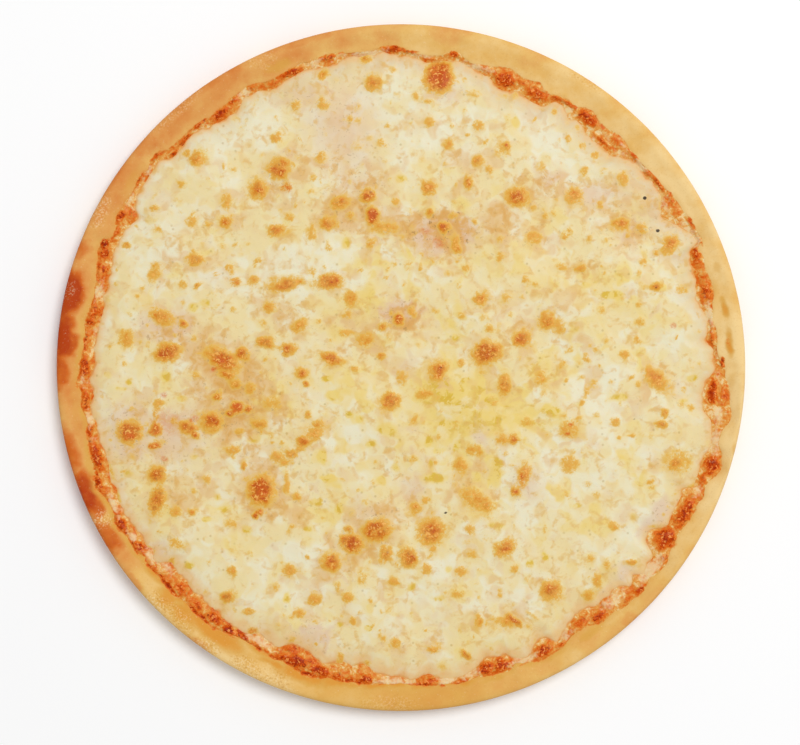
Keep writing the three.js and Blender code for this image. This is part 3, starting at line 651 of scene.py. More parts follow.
# Toasted spots: x, y, length, breadth, strength, turn. A turn of 0 is left out, and with it a
# strength of 0.8. The lists below have the same form.
toastedSpots = [
    # far side
    (16.5, 126.5, 11.4, 9.6, 1.26, 80), (-12, 123.5, 6.5, 6, 0.92), (-15.5, 134, 4, 3.5, 0.85),
    (-34, 127, 4.5, 4, 0.75), (-3, 130, 5, 4, 0.4), (-45.5, 114, 5, 4.5, 0.6), (-34, 114.5, 5.5, 5, 0.65),
    (-54, 100, 5, 4.5, 0.7), (-34.5, 91, 5, 4.5, 0.65), (-53, 86.5, 9, 8, 1, 30),
    (-62, 77.5, 8, 7, 0.92, 60), (-50, 78.5, 6, 3, 0.7), (-88.5, 90.5, 6.5, 5.5, 0.88),
    (-93, 93, 3.5, 3.5, 0.7), (-95.5, 79.5, 3, 3, 0.5), (-14.5, 75, 6, 5.5, 1.05), (-19, 96, 5, 5, 0.38),
    (-9, 97.5, 4, 4, 0.55), (-13, 100, 3, 3, 0.5), (-38, 82, 3, 3, 0.5), (12, 78, 6.5, 6, 0.92),
    (6, 118, 4, 4, 0.5), (12, 115.5, 5, 2.5, 0.45), (32, 119, 6, 4, 0.4), (12.5, 106.5, 5, 4.5, 0.6),
    (33.5, 105, 5, 4.5, 0.6), (20.5, 97, 5, 4.5, 0.65), (33, 90, 5, 4.5, 0.88), (38.5, 86, 4, 4, 0.6),
    (44, 95, 8, 7.5, 0.4), (46, 96.5, 3.2, 3, 0.95), (29, 80.5, 6, 3.5, 0.88, 90), (50.5, 74, 8.5, 8, 0.98),
    (75, 74.5, 7.5, 7), (73, 99.5, 3, 3, 0.6), (79, 96.5, 3.5, 3.5, 0.55), (84.5, 92, 3.5, 3.5, 0.55),
    (96.5, 82, 6, 5, 0.6, 90), (61, 88, 5, 5, 0.38),
    # left
    (-101.5, 6.5, 10, 7, 1.12, 10), (-119.5, 12.5, 8, 7, 0.68, 90), (-104, 22, 11, 6, 0.82, -20),
    (-90, 47, 7, 5, 0.9), (-107, 41, 9, 5, 0.65, 60), (-95, 36, 4.5, 4, 0.6), (-107, 69, 3.5, 3.5, 0.6),
    (-91, 64, 6, 5, 0.62, 90), (-84, 62.5, 3, 3, 0.5), (-76, 72, 8, 5, 0.65, 90), (-76, 63.5, 5.5, 5, 0.88),
    (-119.5, 53, 3.5, 3.5, 0.7), (-94.5, 19, 3.4, 3.2, 1.1), (-89, 35.5, 2.6, 2.4, 0.95),
    (-77, 3, 14, 8, 1.05, -35), (-69, 6, 6, 5, 0.95), (-72, -7, 5, 4), (-84, 6, 6, 4, 0.6),
    # left of the middle
    (-54.5, 59.5, 7, 5, 0.92), (-48.5, 65, 4, 4, 0.6), (-38.5, 58, 4.5, 4.5, 0.6),
    (-26.5, 71.5, 8, 5, 0.92, 20), (-32, 62.5, 7, 5, 0.92), (-22, 66, 3.5, 3.5),
    (-12.5, 66, 7, 5, 1.15, 90), (-7, 60.5, 12, 5, 0.72), (-13, 54.5, 4, 4, 0.6),
    (-2.5, 72, 3.5, 3.5, 0.55), (-64, 37.5, 5, 4.5, 0.65), (-71.5, 37, 4, 4), (-74.5, 43.5, 4, 4, 0.6),
    (-50, 36, 13, 5, 0.95, 15), (-31, 37.5, 11, 6, 0.95), (-57, 26, 6, 5, 0.65), (-44, 18.5, 8, 5, 0.7, 20),
    (-22, 30, 8, 7, 0.62), (-23.5, 23, 4, 4, 0.55), (-1, 21, 4.8, 4, 1.12, 90), (-8, 18, 3.5, 3.5),
    (-24, 15, 6, 4, 0.55), (-15.5, 12, 7, 6.5, 0.7), (-59, 11, 6.5, 5, 0.92), (-49.5, 8, 6, 5, 0.95),
    (-30, 4, 9, 5, 0.95, -20), (-8.5, 5, 3.5, 3.5, 0.7), (-62, 47, 3, 3, 0.5),
    # right of the middle
    (18.5, 61, 5, 4.5, 1.1), (24, 53, 9, 4, 0.74, 100), (12.5, 67.5, 3.5, 3.5, 0.75),
    (22.5, 66, 3.5, 3.5, 0.55), (57.5, 56.5, 8, 5, 0.65), (63, 66, 3, 3, 0.55), (71.5, 57.5, 4, 4, 0.55),
    (43, 48, 4, 4, 0.55), (43, 56, 4, 4, 0.5), (28, 43, 3.5, 3.5, 0.5), (69, 44, 6, 4, 0.5),
    (34.5, 30, 5.5, 5.5, 0.92), (46, 30, 6, 4, 0.5), (63.5, 20.5, 7.5, 6, 0.9, 100), (68, 18, 8, 7, 0.55),
    (38, 17, 4, 4, 0.6), (36, 22, 5, 4, 0.4), (52.5, 12.5, 7.5, 7, 0.95), (37, 6.5, 11, 9, 1.1, 20),
    (26, 2, 3.5, 3.5, 0.6), (17, -0.5, 6, 6, 0.95), (54, 38, 3, 3, 0.65), (70, 1, 3.5, 3.5, 0.55),
    # right
    (95.5, 62.5, 7.4, 4.4, 0.9), (105, 60.5, 4.6, 4.2, 0.7), (98.5, 57.5, 2.4, 2.4, 0.6),
    (117, 53.5, 9, 6, 0.84, 60), (116, 70, 12, 6, 0.42, 120), (78, 43, 5, 3, 0.75),
    (111, 35, 5, 3.4, 0.9, 20), (122, 34, 5, 4, 0.5), (105, 45.5, 4, 4, 0.5), (86, 70.5, 3.5, 3.5, 0.5),
    (82, 56, 3, 3, 0.5), (104, 20, 5, 4, 0.5), (103, 12, 4, 4, 0.5), (97, 6, 5, 4, 0.55),
    (103, 27.5, 3, 3, 0.5),
    # far left, near half
    (-118, -28, 9.5, 9, 1.1), (-106.5, -20, 8, 2.5, 0.55, 90), (-106.5, -27, 5.5, 5, 0.95),
    (-107, -34, 6, 3.5), (-92.5, -26, 8, 4.5, 1, -20), (-89.5, -29, 4, 3, 1, -60), (-82, -23.5, 9, 8, 0.95),
    (-106, -46.5, 7, 6, 1), (-106, -57.5, 13, 6, 1, 75), (-98, -62.5, 5, 5, 0.7), (-90.5, -62.5, 4, 3),
    (-105, -15.5, 5, 4, 0.65), (-89, -3, 5, 3, 0.55), (-80, -13, 4, 2.5, 0.95),
    (-84, -48.5, 4, 3.5, 0.65, 90), (-74.5, -36, 5, 3, 0.6), (-98, -76, 6, 4, 0.5), (-74, -67.5, 6, 4, 0.5),
    (-124, -55.5, 7, 3, 0.55, 110), (-126, -45, 8, 2.5, 0.4, 105),
    # left of the middle, near half
    (-75, -3, 8, 4, 0.88), (-65.5, -9, 6, 5, 0.62, 90), (-71, -17.5, 5.5, 5, 1.05),
    (-66.5, -18, 3.4, 3, 0.95), (-74.5, -20, 3.6, 2.6, 1.1), (-61.5, -25, 7, 4.5, 0.85),
    (-56, -15.5, 8, 7, 0.5), (-70.5, -27.5, 4, 2.5, 0.6), (-73, -36, 6, 3, 0.7), (-51.5, -33, 3, 3, 0.5),
    (-68, -43, 4, 2, 0.75, 90), (-43, -2.5, 5, 4, 0.97, -50), (-41.5, -7, 3, 2.5, 1.1, -60),
    (-40.5, -20, 4, 2.5, 0.75, 90), (-36, -24.5, 7, 3.5, 0.7), (-37.5, -28.5, 9, 6, 0.72, 30),
    (-42.5, -32, 5.5, 5, 0.92), (-44, -35.5, 4, 2.5, 0.7), (-47.5, -37.5, 4.5, 4, 0.85),
    (-53.5, -39, 6, 4.5, 0.8, -20), (-51, -41.5, 4, 3, 0.65), (-50, -48, 8, 2.4, 0.55, 90),
    (-49.5, -51.5, 5, 2.5, 0.55, 90), (-45, -56, 4, 4, 0.65), (-60.5, -53.5, 11, 9.5, 1.2, 90),
    (-60.8, -63, 3.2, 2.5, 0.95), (-63.3, -64, 2.8, 2.6, 1.1), (-4.5, -14.5, 8, 7, 0.98),
    (0.5, -4.5, 7, 5, 0.62, 90), (-20, -0.5, 4, 2.5, 0.65),
    # near side
    (-10.5, -70.5, 11, 8.4, 1.08, 20), (-21.5, -76.5, 9, 7, 1.1, -20), (-22.5, -70, 4, 3, 0.88),
    (-30.3, -84.3, 8, 7, 1), (-6.5, -80.5, 6, 5, 0.92, 90), (-7.5, -84, 5, 3, 0.5),
    (-73.5, -88.5, 4.5, 4, 0.65), (-48.5, -88, 7, 5, 0.72), (-75.5, -99.6, 6, 5, 0.88),
    (-37.5, -101, 6, 5.5, 0.68, 90), (-66, -106, 6, 3.5, 0.62), (-44, -107, 5, 4, 0.62),
    (-23.3, -99.8, 5, 5, 0.65), (-27.5, -95.5, 4, 2.5, 0.55, 90), (-17, -91, 8, 6, 0.42, 90),
    (-2.5, -93, 4.5, 4, 0.7), (-20.8, -110, 4, 2.5, 0.55, 90), (-7.3, -118, 3, 2.8, 0.5),
    (-2.5, -120, 5, 4.5, 0.7), (-54.5, -95, 3.5, 3.5, 0.6), (-26.5, -126.5, 7, 3, 0.6, 90),
    (-64, -114.5, 5, 3, 0.62), (-100, -84, 5, 3, 0.55, 90), (-97, -77, 6, 5, 0.42),
    (-109, -79.5, 3, 2.5, 0.85),
    # right of the middle, near half
    (16, -2, 8, 7, 0.95, 90), (10, -11.5, 7, 4.5, 0.68), (35, -1.5, 4, 2.5, 0.55, 90),
    (45, -7.5, 10, 5, 0.9, 90), (60.5, -4.5, 6.5, 5, 0.68, 90), (32, -36, 8, 5, 0.65), (44, -31, 5, 5, 0.7),
    (49, -31, 4, 4, 0.95), (73, -27, 9, 8, 0.62, -50), (74, -25, 3, 3, 0.7), (72.5, -28.5, 3, 2.5, 0.9),
    (73.5, -42, 8, 7.5, 0.58), (25.8, -42.5, 7, 6, 0.7, 90), (53.5, -47, 12, 5, 0.72, 75),
    (52.5, -47.5, 2.4, 2.4, 1), (50, -54, 4, 3.5, 1.02), (33, -57.5, 15, 8, 0.72, -35),
    (32, -55.5, 3, 2.5, 0.72), (37, -60, 5, 4, 0.85, -30), (6.5, -61, 6, 5, 0.72), (10.5, -58, 4, 4, 0.62),
    (13, -71.5, 11.5, 10, 0.98, 45), (14, -79, 4, 3, 0.6, 90), (3.3, -82.5, 8, 7, 1, -60),
    (10.5, -87.5, 5, 5, 0.65), (26, -89, 6, 5, 0.65), (30, -70.5, 4, 4, 0.62), (30.5, -81, 5, 4, 0.5),
    (45, -78.5, 9, 6.5, 0.92, 30), (65, -97, 8.5, 8, 0.92), (34, -110, 7, 3.5, 0.65, 90),
    (46, -110.5, 12, 5, 0.68, -10), (49, -109.5, 8, 1.8, 1.1, -40), (57, -107.5, 8, 2, 0.4, -38),
    (14.3, -122.5, 6, 4, 0.75), (28.5, -125, 6, 2.5, 0.88, -50), (49, -87.5, 4, 4, 0.6),
    (25, -98.5, 5, 4, 0.62), (5, -23.5, 5, 3, 0.5), (5, 24, 4, 4, 0.62), (5.5, -39.5, 5, 2.5, 0.5),
    (54.5, -23.5, 6, 4, 0.55),
    # right, near half
    (111, -5, 11, 6.5, 0.92, -40), (80.5, -10, 6, 2.5, 0.62, 90), (78.5, -15.5, 2.6, 2.5, 0.6),
    (114.5, -20.5, 4, 3, 0.8, 90), (113.5, -24.5, 4.5, 4, 0.88), (126, -17, 4, 3.5, 0.5),
    (93, -24, 5, 4, 0.62), (100, -29.5, 3, 2, 0.6), (120.5, -41, 13.5, 11, 0.5), (119.5, -42, 7, 5.5, 0.92),
    (92.5, -69, 5, 4, 0.62), (85, -55, 6, 4, 0.35), (100.5, -84.5, 5, 2.5, 0.75),
    (85, -92.5, 6, 5, 0.62, 90), (81.5, -99, 6, 5, 0.6), (82.3, -83, 4, 3, 0.6, 90),
    (89.5, -86, 4, 3, 0.6, 90), (126, -54, 8, 5, 0.5, 60),
]

# Places where the cheese is yellow with fat or has sauce on it
yellowSpots = [
    (0, 82, 5, 4), (50, 107, 6, 3, 0.7, 90), (-90, 26, 5, 4), (-85, 28, 5, 4), (-23.5, 54, 5, 4, 0.8, 90),
    (24, 13, 4, 3.5), (80, 36, 4.5, 4), (92, 31.5, 12, 4, 1), (111, 35, 7, 3.4, 0.9), (-127.5, -3, 3.4, 3),
    (-118, -7, 3.6, 3.4), (-121, -9, 6, 2.4), (-95, -13.5, 4.5, 3), (-102, -4, 4, 4, 0.7),
    (-118.5, -46, 3.4, 3, 0.7), (-79.5, -56, 3.6, 3.5, 0.9), (-77, -62, 3.4, 3), (-90, -39, 4, 3),
    (-84.5, -66, 4, 2.4), (-64, -31, 6, 4, 0.8, 40), (-37, -58.5, 8, 4), (-67, -70.5, 4, 3.5),
    (-41, -70, 4, 2.5), (-26.5, -61, 5, 4, 0.8, 90), (-30, -12, 6, 4), (-33, -5, 6, 3),
    (-22.5, -20.5, 4, 3), (-17.5, -22.5, 4, 3), (-6, -27, 10, 7), (-13, -33, 4.5, 3),
    (-34, -38, 7, 3.5, 0.8, 90), (-31.5, -48, 7, 2.5), (-8, -49, 5, 4), (-2.5, -43, 4, 4),
    (24, -14, 5, 4, 1.1, 90), (21, -11, 17, 13, 0.95), (28, -19, 6, 5, 1, 90), (28, -6, 6, 4, 1),
    (37, -15, 7, 4), (41, -22.5, 5, 4, 0.9), (50.5, -22, 5, 3, 0.9, 90), (54.5, -23.5, 8, 6, 1),
    (63.5, -18, 6, 5, 0.9, 90), (67, -19, 5, 4), (21, -24.5, 12, 4, 0.9), (12, -32, 5, 3, 0.8, 90),
    (17, -36, 7, 3), (24, -34, 5, 3, 0.8, 60), (42, -41, 5.5, 5, 0.9), (40.5, -48, 9, 6, 0.9, 90),
    (33.5, -47, 4, 3, 0.8, 90), (15, -48, 13, 4.5), (13, -42, 6, 2.4, 0.8, 90), (42, -68.5, 8, 3.2, 0.7),
    (62.5, -82.5, 4, 3, 0.8, 90), (56, -85, 4.4, 4), (5, -95.5, 4, 3, 0.8, 90), (16.5, -100, 6, 3),
    (21, -88, 3.4, 3), (61.5, -25.5, 4, 3, 0.7, 90), (-49.5, -100, 3.4, 3.2), (-26.5, -112, 3.4, 3.2),
    (-14, -113, 3.4, 3.2), (-92, -86, 4, 3), (127, -4.5, 3.4, 3), (122.5, -14.5, 4, 2, 0.9),
    (95, -13, 8, 3.5), (101, -65, 5, 4, 0.6), (77, -60, 4, 4, 0.7), (20, 68, 26, 16, 0.35, 10),
    (0, 55, 30, 16, 0.4), (-12, 45, 20, 12, 0.4, 20), (40, -20, 46, 34, 0.4), (-15, -25, 30, 26, 0.3),
    (64, 35, 26, 16, 0.25),
]

reddishBits = [
    (-118, -29.5, 5, 3.5, 0.9, 20), (-102, -24, 13, 11, 0.26), (-106.5, -27, 4, 4, 0.9),
    (-107, -34, 5, 2.4, 0.9), (-103, -40, 3, 1.6, 0.6), (-90, -22.5, 4, 2, 0.7, 30), (-103, -12, 3, 2, 0.6),
    (-81, 0, 2.6, 2.4, 0.9), (-71, -17.5, 4.4, 3.6, 1), (-66, -18, 2.6, 2.2, 0.9),
    (-60.5, -53, 7, 5, 0.8, 80), (-60.8, -63, 3, 2.2, 0.9), (-79, 4, 5, 3, 0.8, -30), (-50, 78.5, 5.5, 2.6),
    (-12.5, 66, 5, 3, 0.6, 80), (-1, 21, 4, 3, 0.5, 80), (10, 59.4, 6, 2.6, 0.55, -12),
    (17, 54.7, 5, 3.4, 0.6), (74, -25, 2.4, 2.4, 0.9), (72.5, -28.5, 2.6, 2), (16.5, 126.5, 10, 9, 0.7, 80),
    (118.5, 18.3, 2.4, 2.2, 0.7), (-64, -114.5, 4, 2.4, 0.5), (53.5, -47, 9, 2.6, 0.5, 75),
    (-71.5, 37, 3, 3, 0.5),
]

darkSpecks = [
    (106, 73.7, 1.5, 1.4, 1.2), (111.7, 59.5, 1.5, 1.4, 1.2), (19.4, -63, 1.8, 1.3, 0.9),
    (110.8, 34.8, 1.6, 1.4, 0.66, 30), (17.5, 0, 2, 1.6, 0.61), (52.5, -47.5, 1.8, 1.8, 0.61),
    (69, 25, 1.5, 1.4, 0.61), (32, -55.5, 1.8, 1.4, 0.61), (-108.5, -12, 2, 1.6, 0.55),
    (-107.5, -8.5, 1.6, 1.6, 0.53), (-104, -8, 1.6, 1.4, 0.53), (-116, -16, 1.8, 1.4, 0.53),
    (-99, -18, 1.6, 1.6, 0.53), (-79, -49, 2, 1.4, 0.53), (-88, -34, 1.8, 1.6, 0.53),
    (-45, -103, 1.8, 1.6, 0.53), (-77.5, -84, 1.6, 1.6, 0.53), (-11.5, -120.5, 1.6, 1.4, 0.57),
    (-11.3, -123.5, 1.4, 1.4, 0.55), (-5, -119, 1.4, 1.4, 0.53), (-92, 11.5, 4, 2.4, 0.52),
    (-69, 47, 2, 1.8, 0.53), (4, 26, 2, 1.6, 0.53), (76.5, -62.5, 1.8, 1.6, 0.53),
    (85, -34.5, 2, 1.6, 0.53), (61, 83, 1.4, 1.2, 0.55), (63.5, 80, 1.4, 1.2, 0.55),
    (66, 78.5, 1.4, 1.2, 0.55), (60, 79, 1.2, 1.2, 0.53), (64, 84, 1.2, 1.2, 0.53),
    (67, 82, 1.4, 1.2, 0.53), (101.5, -22.5, 3, 2, 0.57),
]

# Broad areas that are warm tan, pale, or a thin pinkish film over the sauce
warmAreas = [
    (-20, 67, 30, 16, 1, -20), (2, 62, 24, 14, 1.1), (20, 58, 22, 18, 1.8), (40, 62, 26, 22, 0.85),
    (60, 80, 20, 16, 1), (62, 60, 18, 12, 0.6), (80, 40, 20, 14, 0.6), (0, 22, 20, 16, 1.3),
    (4.5, 25, 7, 6, 1.9), (-76, -10, 34, 50, 1.1, 15), (-72, -20, 34, 24, 1.35), (-92, -18, 22, 20, 0.5),
    (-20, 82, 34, 16), (100, 62, 28, 24, 0.9), (-56, -20, 16, 14, 0.9), (-100, 15, 26, 18, 0.6),
    (-60, -56, 22, 20, 1), (-42, -60, 22, 18, 0.7), (0, -62, 24, 14, 0.6), (-15, -73, 34, 22, 0.7, 20),
    (-92, -56, 22, 20, 0.5), (-22, 15, 34, 26, 0.5, 30), (-52, 22, 28, 26, 0.4), (-55, 80, 32, 18, 0.5, 20),
    (50, 73, 18, 16, 0.6), (78, 68, 30, 18, 0.4), (55, 17, 34, 24, 0.5, 20), (34, -50, 30, 30, 0.45, 15),
    (-40, -33, 26, 16, 0.5, 40), (101, 60, 18, 14, 1), (110, -8, 18, 24, 0.4), (118, -42, 16, 16, 0.4),
    (-30, -92, 50, 18, 0.2, 10), (40, -108, 34, 16, 0.3), (-85, 55, 40, 22, 0.3, 40),
    (28, 85, 30, 20, 0.45), (70, -95, 30, 20, 0.1), (-112, -48, 16, 40, 0.4), (75, 35, 40, 16, 0.35, 10),
    (0, -42, 16, 12, 0.4), (60, -2, 20, 14, 0.4), (0, -121, 24, 12, 0.5),
]

paleAreas = [
    (-72, 102, 44, 30, 1, 40), (5, 98, 26, 22, 1.1), (20, 120, 24, 14, 1), (-22, 80, 18, 14, 0.5),
    (-60, -42, 22, 16, 1.4), (100, 40, 18, 16, 0.9), (-58, -22, 10, 10), (20, 103, 70, 20, 0.9, -12),
    (72, 92, 56, 26, 0.8, -45), (-5, 118, 30, 14, 0.6), (-102, 52, 22, 50, 0.9), (-80, 60, 16, 14, 0.4),
    (-35, 42, 64, 20, 1.4, 5), (0, 42, 22, 18, 1.4), (-98, 2, 16, 12, 1), (-100, 38, 18, 16),
    (42, 2, 12, 9, 0.9), (-85, 5, 7, 6, 1.2), (80, -3, 34, 54, 1, 10), (0, 0, 14, 12, 0.5),
    (-22, -24, 26, 22, 1), (42, -38, 18, 14, 0.6), (60, -42, 22, 26, 1.1, 10), (60, -64, 30, 18),
    (20, -40, 14, 10, 0.4), (20, -60, 16, 12, 0.5), (95, -50, 34, 70, 0.9, 15), (-80, -40, 20, 14, 0.6),
    (-60, -38, 20, 12), (-40, -42, 18, 16, 0.5), (-80, -80, 24, 16, 0.6), (-42, -82, 28, 16),
    (25, -82, 30, 16, 0.5), (80, -82, 26, 22), (-50, -100, 34, 14), (2, -100, 32, 26), (48, -99, 40, 16),
    (118, 5, 14, 44, 0.6), (-87, -33, 6, 5, 1.2), (-43, -10, 6, 9, 1.2), (-50, -38, 8, 5, 1),
    (-43, 3, 16, 14, 0.5), (-100, -75, 22, 20, 0.4), (115, 42, 14, 30, 0.5, 20),
    (-85, -100, 44, 16, 0.4, -40), (72, 62, 10, 8), (20, 72, 10, 8),
]

butteryAreas = [
    (18, 42, 64, 22, 0.5, 5), (32, -18, 50, 44, 1.1, 10), (20, -8, 24, 20, 1.3), (80, 20, 22, 18, 1),
    (62, -60, 18, 16, 0.6), (20, -100, 18, 14, 0.5), (-22, 0, 22, 16, 0.9), (-44, 0, 14, 14, 0.7),
    (-56, -16, 18, 16), (62, 2, 20, 16, 0.5), (102, 66, 24, 20, 0.5), (82, 42, 24, 16, 0.4),
    (30, -50, 26, 22), (62, -22, 24, 20, 0.9), (84, 36, 44, 20), (2, -32, 26, 20, 0.7),
    (-28, -18, 18, 14, 0.3), (-18, 18, 44, 34, 0.6), (20, 16, 28, 22), (20, 0, 26, 18, 0.9),
    (62, -2, 26, 18, 1.1), (100, 12, 30, 50, 0.4), (50, 60, 60, 24, 0.3), (82, -60, 24, 18),
    (100, -50, 18, 24, 0.5), (-30, -60, 34, 14, 0.7), (-60, 20, 30, 20, 0.1), (-20, 45, 30, 10, 0.3, 10),
    (0, -20, 30, 16, 0.4),
]

filmAreas = [
    (-25, 104, 34, 44, 0.75, 10), (-118, -28, 22, 26, 1), (-98, -30, 30, 26), (-102, 18, 24, 14, 0.9),
    (0, 24, 16, 10, 1.2), (18, 58, 26, 16, 1.4), (-20, 80, 22, 14, 0.6), (20, 120, 20, 12, 0.6),
    (-45, -5, 16, 34, 0.4), (-42, 118, 18, 13, 0.7), (55, -50, 16, 18, 0.6), (34, -28, 10, 8, 0.7, 90),
    (5, -52, 16, 14, 0.6), (-12, -63, 18, 10, 0.5), (5, -26.5, 9, 4, 0.6), (-38, -117, 18, 12),
    (-105, -80, 12, 10), (113, -63, 16, 9, 0.9, 60), (107, -69, 12, 8, 0.8, 60), (97, -89, 14, 9, 0.8, 50),
    (90, -98, 14, 8, 0.7, 40), (66, 82, 8, 7, 0.7), (117, 66, 16, 9, 0.7, 110), (-38, -113.5, 12, 3, 1.1),
    (-33, -119, 10, 3, 1.1, 90), (85, -34.5, 6, 4, 0.5), (85, 75, 26, 12, 0.7), (100, 60, 14, 12),
    (-80, 40, 24, 16, 0.4),
]


def scattered(seed, count, smallest, largest, strengths):
    # Random ovals over the whole sheet, evenly spread: radius grows as the square root of a share
    random = np.random.default_rng(seed)
    angle, radius = random.uniform(0, fullTurn, count), np.sqrt(random.uniform(0, 1, count))
    length = random.uniform(smallest, largest, count)
    breadth, turn = length * random.uniform(0.45, 1, count), random.uniform(0, 180, count)
    strength = random.uniform(*strengths, count)
    radius = cheese["fleckReach"] * radius
    return np.stack([
        radius * np.cos(angle), radius * np.sin(angle), length, breadth, strength, turn], -1).tolist()


def roundNet(cells, crowding):
    # A square net of cells bent into a disc: each square ring becomes a circle, and the spacing
    # narrows towards the edge as r = s (1 + k) - k s^3. Gives angle, share of the radius and the
    # closed loop of points round the edge.
    u, v = np.meshgrid(np.linspace(-1, 1, cells + 1), np.linspace(-1, 1, cells + 1))
    wide = np.abs(u) >= np.abs(v)
    reach = np.where(wide, u, v)
    safe = np.where(reach == 0, 1, reach)
    turn = np.where(wide, math.pi / 4 * v / safe, math.pi / 2 - math.pi / 4 * u / safe)
    angle = np.degrees(np.arctan2(reach * np.sin(turn), reach * np.cos(turn))) % 360
    share = np.abs(reach) * (1 + crowding) - crowding * np.abs(reach) ** 3
    number = np.arange((cells + 1) ** 2).reshape(cells + 1, cells + 1)
    loop = np.concatenate([number[0, :-1], number[:-1, -1], number[-1, :0:-1], number[:0:-1, 0]])
    quads = np.stack([number[:-1, :-1], number[:-1, 1:], number[1:, 1:], number[1:, :-1]], -1)
    return angle.ravel(), share.ravel(), loop, quads.reshape(-1, 4).tolist()


def slowSwell(x, y):
    # Nine waves that cross at all angles, 28 to 73 mm long
    total = 0
    for n, (heading, length, phase) in enumerate(randomShares(7, 27).reshape(9, 3)):
        course = math.pi * (n + heading) / 9
        along = x * math.cos(course) + y * math.sin(course)
        wave = cheese["shortestSwell"] + cheese["swellSpread"] * length
        total = total + np.sin(fullTurn * (along / wave + phase))
    return cheese["swell"] * total / 3


def meltedMozzarella():
    # Shredded low-moisture mozzarella melted into one sheet: milk fat gives a soft sheen, light
    # sinks in a little, and the thin skin toasts in crinkled brown blisters with a tan edge
    material, tree = newMaterial("meltedMozzarella")
    place = addNode(tree, "TexCoord", {}, 3)
    toast, butter, film, thin, pale, warm, red, dark, soaked, redness = (
        addNode(tree, "Attribute", {"attribute_name": name}, 2) for name in (
            "toast", "butter", "film", "thin", "pale", "warm", "red", "dark", "soaked", "redness"))

    # shreds that ran together: soft cells of 7 and 3.4 mm in a net bent by noise
    bend = addNode(tree, "TexNoise", {"Vector": place, "Scale": 1000 / 6, "Detail": 1}, 1)
    bent = addNode(tree, "VectorMath", {"operation": "MULTIPLY_ADD", 0: bend, 1: (0.009,) * 3, 2: place})
    shred, bit = (addNode(tree, "SeparateColor", {0: addNode(tree, "TexVoronoi", {
        "feature": "SMOOTH_F1", "voronoi_dimensions": "2D", "Vector": bent, "Scale": 1000 / size,
        "Smoothness": 0.8}, 1)}).node.outputs for size in (7, 3.4))
    edges = addNode(tree, "TexVoronoi", {
        "feature": "DISTANCE_TO_EDGE", "voronoi_dimensions": "2D", "Vector": bent, "Scale": 1000 / 7})
    fleck, crinkle, spatter = (addNode(tree, "TexNoise", {
        "Vector": place, "Scale": 1000 / size, "Detail": detail, "Roughness": roughness,
        "Distortion": distortion}) for size, detail, roughness, distortion in (
            (4.2, 3, 0.55, 0.4), (2.1, 2, 0.6, 1.2), (1.35, 2, 0.6, 0.8)))
    dotAway = addNode(tree, "TexVoronoi", {"voronoi_dimensions": "2D", "Vector": place, "Scale": 1000 / 5.5})
    dotLot = addNode(tree, "SeparateColor", {0: dotAway.node.outputs[1]})

    # how white, buttery or tan a patch of the net is, which its area's mask raises
    whiteTone = addUp(tree, 0, (bit[0], 0.4), (shred[0], 0.6), (pale, 0.45))
    butterTone = addUp(tree, 0, (bit[1], 0.3), (shred[1], 0.6), (butter, 0.55))
    tanTone = addUp(tree, 0, (bit[2], 0.4), (shred[2], 0.5), (warm, 0.45))

    # toasted skin: its heat is frayed by all three noises
    mottle = addUp(tree, -0.88, (spatter, 1.6), (crinkle, 0.9), (fleck, 0.9))
    heated = addUp(tree, 0, (toast, mottle))
    skin = addNode(tree, "ValToRGB", {"stops": cheese["skinStops"], 0: heated})
    saucy, tone = sauceColour(tree, place, redness)

    colour = overlay(tree, cheese["cream"], [
        (cheese["white"], (whiteTone, 0.35, 1, 0, 0.95)),
        (cheese["butter"], (butterTone, 0.4, 1.2, 0, 0.85)),
        (cheese["tan"], (tanTone, 0.4, 1.1, 0, 0.85)),
        (cheese["film"], (film, 0.1, 1, 0, 0.75)),
        # painted shade on the edge slope that faces the lamp
        (cheese["thin"], thin),
        (cheese["soaked"], (soaked, 0, 0.6, 0, 0.85)),
        (cheese["stained"], (soaked, 0.5, 1.1, 0, 0.95)),
        (cheese["fat"], (butter, 0.7, 1.4, 0, 0.95), (fleck, 0.46, 0.56)),
        (cheese["oil"], (edges, 0.14, 0), (butterTone, 0.75, 1.2, 0, 0.8), (fleck, 0.45, 0.65)),
        (cheese["fleck"], (addUp(tree, fleck, (warm, 0.1)), 0.53, 0.73, 0, 0.6)),
        (cheese["speck"], (dotAway, 0.14, 0.04), (dotLot, 0.7, 1, 0, 0.4)),
        (cheese["tanFleck"], (addUp(tree, 0, (fleck, 2), (warm, 0.6)), 1.35, 2.2, 0, 0.8)),
        (cheese["grit"], (spatter, 0.39, 0.29, 0, 0.5), addUp(tree, 0.15, (film, 0.6), (warm, 0.5))),
        (skin, (heated, 0.06, 0.4, 0, 0.95)),
        (cheese["net"], (spatter, 0.48, 0.38, 0, 0.85), (toast, 0.6, 1.1)),
        (cheese["reddish"], red, (spatter, 0.4, 0.58, 0.25, 1)),
        # painted highlights on the crinkles of toasted spots
        (cheese["paintedHighlight"], (spatter, 0.55, 0.64, 0, 0.8), (toast, 0.35, 0.75)),
        (saucy, (addUp(tree, redness, (tone, 0.5)), 0.2, 0.75, 0, 0.95)),
        (cheese["dark"], (dark, 0.4, 0.6, 0, 0.95))])
    crinkled = addNode(tree, "MapRange", {
        "interpolation_type": "SMOOTHSTEP", 0: heated, 1: 0.3, 2: 0.8, 3: 0.12, 4: 1.2})
    relief = addNode(tree, "Bump", {
        "Strength": 0.3, "Distance": 0.0003, "Height": addUp(tree, 0, (fleck, 0.3), (crinkle, crinkled))})
    shader = addNode(tree, "BsdfPrincipled", {
        "Base Color": colour, "Normal": relief, "Roughness": 0.42, "IOR": 1.44, "Specular IOR Level": 0.2,
        "Subsurface Weight": 0.15, "Subsurface Radius": (1, 0.7, 0.4), "Subsurface Scale": 0.0015})
    addNode(tree, "OutputMaterial", {"Surface": shader})
    return material


